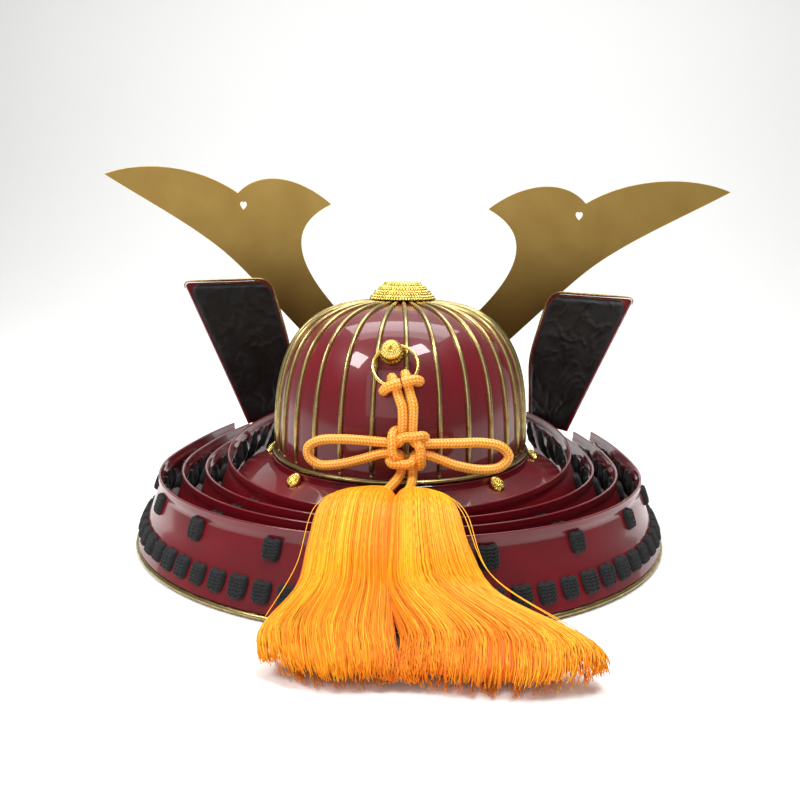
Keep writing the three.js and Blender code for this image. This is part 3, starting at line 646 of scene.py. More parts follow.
def smooth_line(points: Sequence[Sequence[float]], count: int) -> Array:
    """Centripetal Catmull-Rom line through points, sampled evenly along its parameter.

    Args:
        points: the points that the line passes.
        count: how many samples are given back for each stretch between two points.

    Returns:
        The samples, first and last point included.
    """
    p = np.asarray(points, float)
    p = np.vstack([2 * p[0] - p[1], p, 2 * p[-1] - p[-2]])
    out = []
    for i in range(1, len(p) - 2):
        p0, p1, p2, p3 = p[i - 1:i + 3]
        d0, d1, d2 = (max(np.linalg.norm(b - a), 1e-6) ** 0.5 for a, b in ((p0, p1), (p1, p2), (p2, p3)))
        t1 = ((p1 - p0) / d0 - (p2 - p0) / (d0 + d1) + (p2 - p1) / d1) * d1
        t2 = ((p2 - p1) / d1 - (p3 - p1) / (d1 + d2) + (p3 - p2) / d2) * d1
        for t in np.linspace(0, 1, count, endpoint=False):
            out.append(p1 + t1 * t + (-3 * p1 + 3 * p2 - 2 * t1 - t2) * t ** 2
                       + (2 * p1 - 2 * p2 + t1 + t2) * t ** 3)
    return np.array(out + [p[-2]])


def even_line(line: Array, step: float) -> Array:
    """The same line with samples a fixed step apart."""
    run = run_along(line)
    marks = np.linspace(0, run[-1], max(int(round(run[-1] / step)), 2) + 1)
    return np.stack([np.interp(marks, run, line[:, k]) for k in range(3)], -1)


def frames_along(line: Array) -> tuple[Array, Array]:
    """Two directions square to a line at each point, turned as little as possible from one to the next."""
    tangent = unit(np.gradient(line, axis=0))
    first = unit(np.cross(tangent[0], [0.3, 0.5, 0.8]))
    sides = [first]
    for t in tangent[1:]:
        sides.append(unit(sides[-1] - t * np.dot(sides[-1], t)))
    across = np.array(sides)
    return across, np.cross(tangent, across)


def rod(line: Array, radius: float | Array, sides: int) -> Array:
    """Rings of a round rod along a line."""
    across, other = frames_along(line)
    angle = circle(sides)
    r = np.broadcast_to(np.asarray(radius, float).reshape(-1, 1, 1), (len(line), 1, 1))
    return line[:, None] + r * (across[:, None] * np.cos(angle)[None, :, None]
                                + other[:, None] * np.sin(angle)[None, :, None])


# ---- bowl ----------------------------------------------------------------------------------------
@dataclass
class Bowl:
    """Lacquered dome with raised brass ribs that run up to its crown, and a bead round its foot."""

    half_width: float = 110.0
    half_length: float = 134.0
    base: float = 72.0
    height: float = 131.0
    wall: float = 2.0
    rise: float = 3.1
    round: float = 3.3
    ribs: int = 32
    rib_half_width: float = 2.0
    rib_proud: float = 2.3
    rib_foot: float = 0.072
    rib_top: float = 0.9985
    foot_bead: float = 1.5

    @property
    def plan(self) -> Plan:
        """The oval of the dome's foot."""
        return Plan(self.half_width, self.half_length, self.half_length)

    def shrink(self, share: float) -> float:
        """Share of the plan that the dome keeps at a share of its height."""
        return (1 - min(max(share, 0.0), 1.0) ** self.rise) ** (1 / self.round)

    def ray_angle(self, ray: float) -> float:
        """Oval angle met by a ray at an even angle from the middle."""
        return math.atan2(math.sin(ray) / self.half_width, math.cos(ray) / self.half_length)

    def point(self, ray: float, share: float, offset: float = 0.0, side: float = 0.0) -> Array:
        """Point on the dome, moved out along its normal and sideways.

        Args:
            ray: angle from the back towards +X.
            share: share of the dome's height.
            offset: distance along the normal.
            side: distance sideways.

        Returns:
            The point.
        """
        angle = self.ray_angle(ray)
        slope = self.shrink(share + 0.01) - self.shrink(share - 0.01)
        tilt = math.atan2(-slope * self.half_width, 0.02 * self.height)
        across = np.array([math.sin(angle), math.cos(angle), 0.0])
        out = across * math.cos(tilt) + np.array([0, 0, math.sin(tilt)])
        level = np.array([0, 0, self.base + share * self.height])
        sideways = np.array([across[1], -across[0], 0.0]) * side
        return self.plan.point(angle) * self.shrink(share) + level + out * offset + sideways

    def levels(self, count: int, low: float = 0.0, high: float = 1.0) -> list[float]:
        """Shares of the height, closer together towards the crown."""
        ends = [math.asin(min(s, 1.0) ** (self.rise / 2)) for s in (low, high)]
        return [math.sin(t) ** (2 / self.rise) if t > 0 else 0.0 for t in np.linspace(*ends, count)]

    def shell(self) -> Mesh:
        """The dome, open below, with an inner wall."""
        rays = circle(160)
        outer = [[self.point(r, s) for r in rays] for s in self.levels(44, 0.0, 0.9999)]
        thin = 1 - self.wall / self.half_width
        inner = [[self.point(r, s) * [thin, thin, 1] - [0, 0, s * self.wall] for r in rays]
                 for s in self.levels(26, 0.0, 0.9999)[::-1]]
        return Mesh().loft(np.array(outer + inner), loop=True)

    def rib_cage(self) -> Mesh:
        """Half-round ribs and the bead round the dome's foot."""
        mesh = Mesh()
        section = [(math.cos(a), max(math.sin(a), -0.25)) for a in np.linspace(-0.25, math.pi + 0.25, 9)]
        levels = [self.rib_foot, *self.levels(30, self.rib_foot, self.rib_top)[1:]]
        for k in range(self.ribs):
            ray = (k + 0.5) * TURN / self.ribs
            rings = [[self.point(ray, s, 0.25 + up * self.rib_proud, side * self.rib_half_width)
                      for side, up in section] for s in levels]
            first = np.array(rings[0])
            tip = first.mean(0) + [0, 0, -1.2]
            mesh.loft(np.array([first * 0.25 + tip * 0.75, first * 0.8 + tip * 0.2 - [0, 0, 0.5], *rings]))
        low = self.base
        bead = [(1.0 + 3.4 * math.sin(a), low + 2.2 - 2.2 * math.cos(a)) for a in np.linspace(0, math.pi, 9)]
        section = [*bead, (0.6, low + 4.4), (0.6, low)]
        return mesh.loft(sweep(self.plan, lambda _: section, 0, TURN, 192, loop=True), loop=True)

    def foot_beads(self) -> bpy.types.Object:
        """A small round head under each rib's foot."""
        dome = relief_disc(self.foot_bead, lambda s, a: 1.3 * math.sqrt(max(1 - s * s, 0)) + 0 * a,
                           lambda a: 1 + 0 * a, rings=6, sides=14)
        spots = []
        for k in range(self.ribs):
            ray = (k + 0.5) * TURN / self.ribs
            out = unit(self.point(ray, 0.042, 1) - self.point(ray, 0.042))
            spots.append(Spot(self.point(ray, 0.044, 0.1), out, UP))
        return set_out("rib_foot_heads", dome, spots, OLD_BRASS)

    def build(self) -> None:
        """Makes and seats the bowl's pieces."""
        self.shell().seat("lacquered_bowl", RED_LACQUER, "bowl")
        self.rib_cage().seat("brass_ribs", OLD_BRASS, "bowl_ribs", sharp=60)
        seat(self.foot_beads(), OLD_BRASS)


@dataclass
class TopOrnament:
    """Stepped gilt boss over the crown, dressed with rows of small petals."""

    bowl: Bowl
    clear: float = 2.9
    radii: tuple[float, ...] = (30.0, 26.5, 22.5, 18.0)
    rises: tuple[float, ...] = (4.2, 4.0, 3.8, 3.2)
    flat_rows: tuple[float, ...] = (13.5, 10.2, 6.9, 3.6)
    petal_width: float = 2.5
    petal_half_length: float = 1.75

    @property
    def crown(self) -> float:
        """Height of the dome's crown."""
        return self.bowl.base + self.bowl.height

    def outline(self) -> list[tuple[float, float]]:
        """Radius and height down the boss, from its middle to its foot."""
        low = self.crown + self.clear
        steps = []
        for radius, rise in zip(self.radii, self.rises):
            steps += [(radius - 2.2, low), (radius - 1.9, low + 0.7), (radius - 3.2, low + rise - 0.6)]
            low += rise
        top = [(12.5, low - 0.5), (7.0, low - 0.15), (0.6, low)]
        return [(15.0, self.crown + 0.4), (16.5, self.crown + self.clear), *steps, *top]

    def body(self) -> Mesh:
        """The boss under the petals."""
        rings = [[[r * math.sin(a), r * math.cos(a), z] for a in circle(96)] for r, z in self.outline()]
        return Mesh().loft(np.array(rings))

    def petals(self) -> bpy.types.Object:
        """Rows of petals that lean out from each step, and flatter rows over the top."""
        petal = relief_disc(1.0, lambda s, a: 0.75 * np.sqrt(np.maximum(1 - s * s, 0)) * (1 + 0 * a),
                            lambda a: 1 + 0 * a, rings=5, sides=12)
        shape = (petal[0] * [self.petal_width / 2, self.petal_half_length, 1.0], petal[1])
        spots = []
        low = self.crown + self.clear
        for radius, rise in zip(self.radii, self.rises):
            for row, (inset, lift) in enumerate(((1.75, 0.27), (2.75, 0.72))):
                spots += self.row(radius - inset, low + rise * lift, 0.55, row / 2, 0.86)
            low += rise
        for k, radius in enumerate(self.flat_rows):
            spots += self.row(radius, low - 0.45 + 0.12 * k, 0.08, k / 2, 0.9)
        return set_out("top_petals", shape, spots, GILT)

    def row(self, radius: float, z: float, lean: float, shift: float, size: float) -> list[Spot]:
        """One row of petals round the boss.

        Args:
            radius: the row's radius.
            z: its height.
            lean: 0 for petals that lie flat and face up, towards 1 for petals that face outwards.
            shift: share of a petal by which the row is turned.
            size: the petals' size.

        Returns:
            A spot for each petal.
        """
        count = max(int(TURN * radius / (self.petal_width * 0.98)), 6)
        spots = []
        for i in range(count):
            a = TURN * (i + shift) / count
            across = np.array([math.sin(a), math.cos(a), 0.0])
            out = across * lean + np.array([0, 0, 1 - lean * 0.7])
            spots.append(Spot(across * radius + [0, 0, z], out, -across + [0, 0, 0.4], size))
        return spots

    def build(self) -> None:
        """Makes and seats the ornament."""
        self.body().seat("gilt_boss", GILT, "top_ornament", sharp=50)
        seat(self.petals(), GILT)


# ---- skirt and visor -----------------------------------------------------------------------------
def chrysanthemum(radius: float, height: float, petals: int) -> tuple[Array, list]:
    """A gilt flower head: two rings of petals round a button of small beads.

    Args:
        radius: its outer radius.
        height: its height at the middle.
        petals: how many petals the outer ring has.

    Returns:
        Points and faces, facing +Z.
    """
    def relief(share: float, angle: Array) -> Array:
        """Height at a share of the radius."""
        dome = height * (1 - share ** 2.4) * 0.8 + height * 0.16
        if share > 0.62:
            wave, depth = np.abs(np.cos(angle * petals / 2)), 0.2 * height
        elif share > 0.34:
            wave, depth = np.abs(np.sin(angle * petals / 2)), 0.16 * height
        else:
            wave, depth = np.abs(np.cos(angle * 4)) * abs(math.cos(share * 18)), 0.12 * height
        ridge = 0.35 * height if 0.58 < share < 0.66 or 0.3 < share < 0.36 else 0.0
        return dome + depth * wave - 0.3 * ridge

    return relief_disc(radius, relief, lambda a: 0.93 + 0.07 * np.abs(np.cos(a * petals / 2)), 26, 144)


@dataclass
class Skirt:
    """Flared plate under the bowl with its gilt rivets, and the peak over the brow."""

    bowl: Bowl
    drop: float = 19.0
    flare: float = 35.0
    wall: float = 1.8
    sweep_deg: float = 122.0
    peak_reach: float = 46.0
    peak_drop: float = 24.0
    peak_sweep_deg: float = 50.0
    rivet_angles: tuple[float, ...] = (-92.0, -44.0, 40.0, 92.0)
    rivet_place: float = 0.22
    rivet_tilt: float = 0.65
    rivet_radius: float = 6.8
    rivet_height: float = 3.7
    rivet_petals: int = 20
    rivet_lift: float = 1.9
    fit: float = 0.3

    def level(self, offset: float) -> float:
        """Height of the plate's upper face at an offset from the bowl's plan."""
        share = max(offset, 0.0) / self.flare
        return self.bowl.base - self.fit - 2.5 - (self.drop - 3) * share ** 0.9

    def plate(self) -> Mesh:
        """The flared plate, with a rolled edge."""
        seat_z = self.bowl.base - self.fit
        rows = [6, 10, 14, 18, 22, 26, 30, 33]
        top = [(-1.8, seat_z), (3.8, seat_z), (4.2, seat_z - 0.4), (4.25, seat_z - 2.3),
               (4.9, self.level(4.9) - 0.1), *[(o, self.level(o)) for o in rows]]
        edge_z = self.level(self.flare) - self.wall / 2 - 0.1
        roll = [(self.flare - 1.0 + 0.9 * math.sin(a), edge_z + 1.15 * math.cos(a))
                for a in np.linspace(0, math.pi, 7)]
        under = [(o - 0.4, self.level(o) - self.wall) for o in rows[::-1]]
        inner = [(3.2, seat_z - 4.6), (-1.8, seat_z - 4.5)]
        half = math.radians(self.sweep_deg)
        return Mesh().loft(sweep(self.bowl.plan, lambda _: [*top, *roll, *under, *inner], -half, half, 150))

    def peak(self) -> Mesh:
        """The brow's peak, which is longest in the middle."""
        seat_z = self.bowl.base - self.fit
        half = math.radians(self.peak_sweep_deg)

        def section(angle: float) -> list[tuple[float, float]]:
            """Corners at an angle."""
            share = max(math.cos((angle - math.pi) / half * math.pi / 2), 0.0) ** 0.7
            reach = 12 + (self.peak_reach - 12) * share
            drop = 6 + (self.peak_drop - 6) * share
            bend = [(0.0, 0.0), (0.3, 0.2), (0.6, 0.45), (0.8, 0.68), (0.985, 0.97)]
            top = [(5 + (reach - 5) * a, seat_z - 3 - drop * b) for a, b in bend]
            under = [(o - 0.5, z - 1.9) for o, z in top[::-1]]
            tip = [(reach, seat_z - 3.4 - drop), (reach - 0.1, seat_z - 4.4 - drop)]
            head = [(-1.8, seat_z), (3.6, seat_z), (4.0, seat_z - 0.5)]
            return [*head, *top, *tip, *under, (-1.8, seat_z - 5)]

        return Mesh().loft(sweep(self.bowl.plan, section, math.pi - half, math.pi + half, 80))

    def rivets(self) -> bpy.types.Object:
        """Gilt flowers on the plate's slope."""
        offset = self.flare * self.rivet_place
        spots = []
        for degrees in self.rivet_angles:
            angle = math.radians(degrees)
            out = self.bowl.plan.outward(angle)
            fall = (self.level(offset - 3) - self.level(offset + 3)) / 6
            normal = unit(out * (fall + self.rivet_tilt) + [0, 0, 1])
            point = self.bowl.plan.point(angle, offset, self.level(offset)) + normal * self.rivet_lift
            spots.append(Spot(point, normal, unit(UP - out)))
        flower = chrysanthemum(self.rivet_radius, self.rivet_height, self.rivet_petals)
        return set_out("gilt_rivets", flower, spots, GILT)

    def build(self) -> None:
        """Makes and seats the skirt, the peak and the rivets."""
        self.plate().seat("lacquered_skirt", RED_LACQUER, "skirt")
        self.peak().seat("lacquered_peak", RED_LACQUER, "visor")
        seat(self.rivets(), GILT, *[f"skirt_rivet_{k + 1}" for k in range(len(self.rivet_angles))])


# ---- neck guard ----------------------------------------------------------------------------------
@dataclass
class Lame:
    """One plate of the neck guard: its plan, its ends, and its face from the top edge down."""

    index: int
    half_width: float = 150.0
    width_step: float = 20.0
    back: float = 179.0
    back_step: float = 13.0
    top_edge: float = 66.0
    top_step: float = 2.0
    flare: float = 20.0
    foot: float = 4.6
    wall: float = 2.0
    reaches: tuple[float, ...] = (200.0, 300.0, 350.0, 400.0)
    ends: tuple[float, ...] = (116.0, 128.0, 140.0, 152.0)
    first_rise: float = 0.07

    @property
    def plan(self) -> Plan:
        """The plate's oval."""
        k = self.index
        return Plan(self.half_width + self.width_step * k, self.back + self.back_step * k, self.reaches[k])

    @property
    def top(self) -> float:
        """Height of its top edge at the back."""
        return self.top_edge - self.top_step * self.index

    @property
    def half(self) -> float:
        """Angle of its ends."""
        return math.acos(-self.ends[self.index] / self.reaches[self.index])

    @property
    def depth(self) -> float:
        """Height of the plate."""
        return self.top - self.foot

    def top_at(self, angle: float) -> float:
        """Height of the top edge at an angle: the first plate climbs towards the face."""
        rise = self.first_rise if self.index == 0 else 0.0
        return self.top + rise * (self.plan.back - self.plan.point(angle)[1])

    def face(self, down: float) -> float:
        """Offset of the outer face at a depth below the top edge."""
        marks = [(0, 2.0), (5, 2.2), (9, 1.2), (28, 8.0), (self.depth, self.flare)]
        return float(np.interp(down, [d for d, _ in marks], [o for _, o in marks]))

    def face_at(self, angle: float, z: float) -> float:
        """Offset of the outer face at a height."""
        return self.face(min(max(self.top_at(angle) - z, 0.0), self.depth))

    def inside(self, angle: float, z: float) -> Spot:
        """Place on the inner face."""
        outer = self.spot(angle, z, -self.wall)
        return Spot(outer.point, -outer.out, outer.up)

    def spot(self, angle: float, z: float, lift: float = 0.0, size: float = 1.0) -> Spot:
        """Place on the outer face, with the way out of it and the way up along it."""
        at = self.plan.point(angle, self.face_at(angle, z), z)
        up = unit(self.plan.point(angle, self.face_at(angle, z + 3), z + 3)
                  - self.plan.point(angle, self.face_at(angle, z - 3), z - 3))
        along = unit(np.cross([0, 0, 1], self.plan.outward(angle)))
        out = np.cross(up, along)
        out = out if np.dot(out, self.plan.outward(angle)) > 0 else -out
        return Spot(at + out * lift, out, up, size)

    def shell(self) -> Mesh:
        """The plate, with a rolled top edge over a shallow groove."""
        downs = [1.1, 3, 5, 6.2, 7.4, 9, 11, 14, 18, 22, 25, 28, 31, 35, 40, 46, 52, self.depth]
        rolled = [(0.95 * math.sin(a) + 1.15, 0.95 - 0.95 * math.cos(a)) for a in np.linspace(-1.4, 1.5, 7)]

        def section(angle: float) -> list[tuple[float, float]]:
            """Corners at an angle."""
            top = self.top_at(angle)
            outer = [(o, top - d) for o, d in rolled] + [(self.face(d), top - d) for d in downs]
            inner = [(self.face(d) - self.wall + 0.1 * (d < 2), top - d) for d in downs[::-1]]
            return outer + inner

        return Mesh().loft(sweep(self.plan, section, -self.half, self.half, 170))

    def nearest(self, point: Array, z: float) -> float:
        """Angle on this plate that is nearest to a point in plan."""
        angles = np.linspace(-self.half, self.half, 601)
        far = [np.linalg.norm(self.plan.point(a, self.face_at(a, z))[:2] - point[:2]) for a in angles]
        return float(angles[int(np.argmin(far))])

    def spread(self, count: int) -> list[float]:
        """Angles evenly spaced along the plate and clear of its ends."""
        angles = np.linspace(-self.half, self.half, 401)
        line = np.array([self.plan.point(a, self.flare) for a in angles])
        run = run_along(line)
        return [float(np.interp(run[-1] * (k + 0.5) / count, run, angles)) for k in range(count)]


@dataclass
class NeckGuard:
    """Nested plates, the bead that they rest on, and the black lacing."""

    count: int = 4
    pitch: float = 18.0
    oval: float = 1.12
    block_width: float = 15.2
    block_height: float = 17.0
    block_thick: float = 4.2
    row_height: float = 17.5
    sparse: int = 13
    inner_step: int = 2
    sparse_drop: float = 15.5
    rim_half: float = 3.2
    plait_mm: float = 2.5
    cord_pitch: float = 15.0
    cord_drop: float = 21.0
    bare_angle: float = 0.8

    def lames(self) -> list[Lame]:
        """The plates, from the inside out."""
        return [Lame(k) for k in range(self.count)]

    def block(self) -> tuple[Array, list, Array]:
        """One block of braided cord: a flat pillow with plaits in three columns.

        Returns:
            Points, faces, and values of tone and painted light.
        """
        n = 25
        u, v = np.meshgrid(np.linspace(-1, 1, n), np.linspace(-1, 1, n))
        round_u = u * np.sqrt(1 - 0.28 * v ** 4)
        round_v = v * np.sqrt(1 - 0.34 * u ** 4) - np.where(v > 0, 0.16 * v * np.exp(-(u / 0.3) ** 2), 0.0)
        round_u = round_u * (1 + 0.05 * v)
        pillow = np.clip(1 - u ** 6, 0, 1) ** 0.5 * np.clip(1 - v ** 6, 0, 1) ** 0.5
        column = (u + 1) * 1.5
        lean = np.abs(column % 1 - 0.5) * 2
        stitch = np.abs(np.sin(np.pi * (v * self.block_height / 2 / self.plait_mm + lean * 0.55)))
        groove = np.abs(np.sin(np.pi * column)) ** 0.4
        lift = 0.62 + 0.38 * stitch ** 0.6 * (0.45 + 0.55 * groove)
        z = self.block_thick * pillow * lift
        front = np.stack([round_u * self.block_width / 2, round_v * self.block_height / 2, z], -1)
        points = np.concatenate([front.reshape(-1, 3), (front * [0.97, 0.97, 0]).reshape(-1, 3) - UP * 0.1])
        faces = [(r * n + c, r * n + c + 1, (r + 1) * n + c + 1, (r + 1) * n + c)
                 for r in range(n - 1) for c in range(n - 1)]
        back = n * n
        faces += [tuple(back + i for i in f[::-1]) for f in faces]
        rim = ([*range(n)] + [r * n + n - 1 for r in range(1, n)]
               + [(n - 1) * n + c for c in range(n - 2, -1, -1)] + [r * n for r in range(n - 2, 0, -1)])
        faces += [(rim[i], back + rim[i], back + rim[(i + 1) % len(rim)], rim[(i + 1) % len(rim)])
                  for i in range(len(rim))]
        # Stitch lift times pillow as painted shade in the grooves and at the edges; the black braid finish
        # does not read it.
        tints = np.concatenate([(lift * pillow).reshape(-1), np.full(n * n, 0.2)])
        return points, faces, tints

    def rows(self) -> dict[str, list[Spot]]:
        """Where the blocks sit, by the solid that they stand for."""
        lames = self.lames()
        rng = np.random.default_rng(SEED)
        wobble = lambda: 1 + 0.05 * float(rng.uniform(-1, 1))
        last = lames[-1]
        found = {}
        angles = last.spread(self.sparse)
        for lame in reversed(lames):
            z = lame.top - self.sparse_drop
            found[f"lacing_upper_{lame.index + 1}"] = [lame.spot(a, z, 0.2, wobble()) for a in angles]
            if lame.index:
                inner = lames[lame.index - 1]
                backs = [lame.plan.point(a, lame.face_at(a, z) - lame.wall) for a in angles]
                angles = [inner.nearest(p, z) for p in backs]
                angles = angles[::self.inner_step] if lame is last else angles
        close = round(2 * last.half * last.plan.half_width * self.oval / self.pitch)
        found["lacing_bottom_row"] = [last.spot(a, self.row_height, 0.2, wobble())
                                      for a in last.spread(close)]
        return found

    def hanging_cords(self) -> bpy.types.Object:
        """Slack loops of lacing cord on the plates' inner faces."""
        rng = np.random.default_rng(SEED + 5)
        angles = circle(10)
        rings = []
        for t in np.linspace(0, 1, 15):
            fat = math.sin(math.pi * min(max(t, 0.04), 0.96)) ** 0.45 * (1 + 0.1 * math.sin(t * 21))
            y, z = 30.0 * (t - 0.5), 2.2 + 2.6 * math.sin(math.pi * t)
            rings.append([[4.4 * fat * math.cos(a), y, z + 3.0 * fat * math.sin(a)] for a in angles])
        cord = Mesh().loft(np.array(rings))
        spots = []
        for lame in self.lames():
            for angle in lame.spread(round(1.5 * lame.half * lame.plan.half_width / self.cord_pitch)):
                if abs(angle) > self.bare_angle:
                    spot = lame.inside(angle, lame.top_at(angle) - self.cord_drop + rng.uniform(-3, 3))
                    spots.append(Spot(spot.point, spot.out, spot.up + rng.normal(0, 0.12, 3),
                                      rng.uniform(0.85, 1.1)))
        return set_out("hanging_lacing_cords", (np.array(cord.points), cord.faces), spots, BLACK_BRAID, 0.5)

    def rim(self) -> Mesh:
        """The half-round bead, flat where it rests."""
        last = self.lames()[-1]
        middle = last.flare - last.wall / 2
        arc = [(middle + 0.15 + self.rim_half * math.sin(a), 2.15 + 2.15 * math.cos(a))
               for a in np.linspace(0.5, 2 * math.pi - 0.5, 14)]
        section = [(o, min(max(z, 0.0), 4.3)) for o, z in arc]
        return Mesh().loft(sweep(last.plan, lambda _: section, -last.half, last.half, 200))

    def build(self) -> None:
        """Makes and seats the neck guard's pieces."""
        for lame in self.lames():
            node = f"lame_{lame.index + 1}"
            lame.shell().seat(f"lacquered_{node}", RED_LACQUER, node)
        self.rim().seat("brass_rim", OLD_BRASS, "lame_rim")
        seat(self.hanging_cords(), BLACK_BRAID)
        points, faces, tints = self.block()
        for node, spots in self.rows().items():
            name = node.replace("lacing", "braid")
            seat(set_out(name, (points, faces), spots, BLACK_BRAID, tints), BLACK_BRAID, node)


# ---- flaps ---------------------------------------------------------------------------------------
@dataclass
class Flap:
    """A turned-back flap at the front of the neck guard: lacquered plate, black lining and brass bead."""

    side: Side
    fold_foot: tuple[float, float, float] = (126.6, -119.0, 76.0)
    fold_head: tuple[float, float, float] = (139.0, -95.0, 209.0)
    free_foot: tuple[float, float, float] = (158.0, -70.0, 76.0)
    free_head: tuple[float, float, float] = (208.0, -35.0, 207.0)
    wall: float = 2.2
    lining: float = 1.2
    border: float = 1.6
    trim: float = 1.3
    corner_in: float = 14.0
    corner_out: float = 5.0
    lining_corner: float = 13.0
    bow: float = 8.0
    right_rise: float = 9.0
    crease_mm: float = 13.0
    crease_depth: float = 1.5

    @property
    def rise(self) -> Array:
        """How much higher this side's head stands."""
        return UP * (self.right_rise if self.side is Side.RIGHT else 0.0)

    @property
    def height(self) -> float:
        """Length of the fold edge."""
        return float(np.linalg.norm(self.fold_head + self.rise - self.fold_foot))

    def at(self, across: float, up: float) -> Array:
        """Point of the middle surface: across 0 at the fold to 1 at the free edge, up 0 to 1."""
        fold = np.array(self.fold_foot) * (1 - up) + (self.fold_head + self.rise) * up
        fold = fold + [-self.bow * math.sin(math.pi * up) ** 2, 0, 0]
        free = np.array(self.free_foot) * (1 - up) + (self.free_head + self.rise) * up
        return fold * (1 - across) + free * across

    def on(self, across: float, up: float, outward: float = 0.0) -> Array:
        """Point of the surface moved along its normal, away from the lining."""
        e = 0.02
        along = self.at(across + e, up) - self.at(across - e, up)
        rising = self.at(across, up + e) - self.at(across, up - e)
        return self.at(across, up) + unit(np.cross(along, rising)) * outward

    def width(self, up: float) -> float:
        """Distance from the fold to the free edge."""
        return float(np.linalg.norm(self.at(0, up) - self.at(1, up)))

    def ends(self, up: float, border: float, outer: float) -> tuple[float, float]:
        """Shares across where a row starts and ends, with both head corners rounded."""
        left = (1 - up) * self.height - border

        def rounding(radius: float) -> float:
            """How far a rounded corner draws the row in."""
            short = max(radius - left, 0.0)
            return radius - math.sqrt(max(radius ** 2 - short ** 2, 0.0))

        width = self.width(up)
        return (border + rounding(self.corner_in)) / width, 1 - (border + rounding(outer)) / width

    def rows(self, low: float, border: float, count: int) -> list[float]:
        """Shares of the height, closer together at the rounded corners."""
        high = 1 - border / self.height
        corner = high - self.corner_in / self.height
        return [*np.linspace(low, corner, count, endpoint=False),
                *[corner + (high - corner) * math.sin(t) for t in np.linspace(0, math.pi / 2, 12)]]

    def plate(self) -> Mesh:
        """The lacquered plate."""
        rings = []
        for up in self.rows(0.0, 0.0, 26):
            a0, a1 = self.ends(up, 0.0, self.corner_out)
            row = np.linspace(a0, a1, 16)
            rings.append([self.on(a, up, -self.wall / 2) for a in row]
                         + [self.on(a, up, self.wall / 2) for a in row[::-1]])
        return self.sided(Mesh().loft(np.array(rings)))

    def cloth(self) -> Mesh:
        """The crinkled lining on the plate's inner face."""
        back = -self.wall / 2 - 0.25
        rings = []
        for up in self.rows(0.02, self.border, 82):
            a0, a1 = self.ends(up, self.border, self.lining_corner)
            row = np.linspace(a0, a1, 66)
            front = []
            for a in row:
                edge = min((a - a0), (a1 - a)) * self.width(up) / 3
                edge = min(edge, (1 - up) * self.height / 3 - 1, up * self.height / 3, 1.0)
                proud = self.lining * max(edge, 0.25) + self.crease(a, up) * max(edge, 0)
                front.append(self.on(a, up, back - proud))
            rings.append(front + [self.on(a, up, back) for a in row[::-1]])
        return self.sided(Mesh().loft(np.array(rings)))

    def crease(self, across: float, up: float) -> float:
        """Height of the lining's crinkles at a place."""
        at = Vector((across * self.width(up), up * self.height, 5.4 + 2.3 * self.side.sign)) / self.crease_mm
        warp = Vector((noise.noise(at * 0.7), noise.noise(at * 0.7 + Vector((5, 1, 2))), 0)) * 0.7
        ridges = 0.0
        for scale, share in ((1.0, 1.0), (2.1, 0.45)):
            ridges += share * (1 - abs(noise.noise((at + warp) * scale)) * 2.6)
        return self.crease_depth * max(ridges * 0.55, 0.0) ** 2.2

    def bead(self) -> Mesh:
        """The brass bead over the head and down the fold."""
        off = self.trim + 0.3
        wide = self.width(0.95)

        def corner(radius: float, fold: bool) -> list[Array]:
            """Points round one head corner, from the side edge to the head or back."""
            found = []
            for turn in np.linspace(0, math.pi / 2, 7):
                swing = (math.sin(turn), math.cos(turn)) if fold else (math.cos(turn), math.sin(turn))
                across = (radius - (radius + off) * swing[0]) / wide
                up = 1 - (radius - (radius + off) * swing[1]) / self.height
                found.append(self.on(across if fold else 1 - across, up))
            return found

        points = corner(self.corner_out, False)
        points += [self.on(a, 1 + off / self.height) for a in (0.75, 0.55, 0.35)]
        points += corner(self.corner_in, True)
        points += [self.on(-off / self.width(u), u) for u in (0.75, 0.5, 0.25, 0.03)]
        line = even_line(smooth_line(points, 12), 1.6)
        radius = self.trim * np.clip(0.4 + np.arange(len(line)) / 40, 0.4, 1.0)
        return self.sided(Mesh().loft(rod(line, radius, 10)))

    def sided(self, mesh: Mesh) -> Mesh:
        """The mesh on this flap's side of the helmet."""
        mesh.points = [[self.side.sign * x, y, z] for x, y, z in mesh.points]
        return mesh

    def build(self) -> None:
        """Makes and seats the flap's pieces."""
        side = self.side.label
        self.plate().seat(f"lacquered_flap_{side}", RED_LACQUER, f"flap_{side}")
        self.cloth().seat(f"crinkled_lining_{side}", BLACK_LINING, f"flap_lining_{side}", sharp=180)
        self.bead().seat(f"brass_flap_bead_{side}", OLD_BRASS, f"flap_trim_{side}")


# ---- crest ---------------------------------------------------------------------------------------
def bezier(*corners: tuple[float, float], count: int = 28) -> list[tuple[float, float]]:
    """Points along the curve of three or four corners, without its start."""
    t = np.linspace(0, 1, count + 1)[1:, None]
    last = len(corners) - 1
    line = sum(math.comb(last, k) * (1 - t) ** (last - k) * t ** k * np.array(q, float)
               for k, q in enumerate(corners))
    return [tuple(q) for q in line]


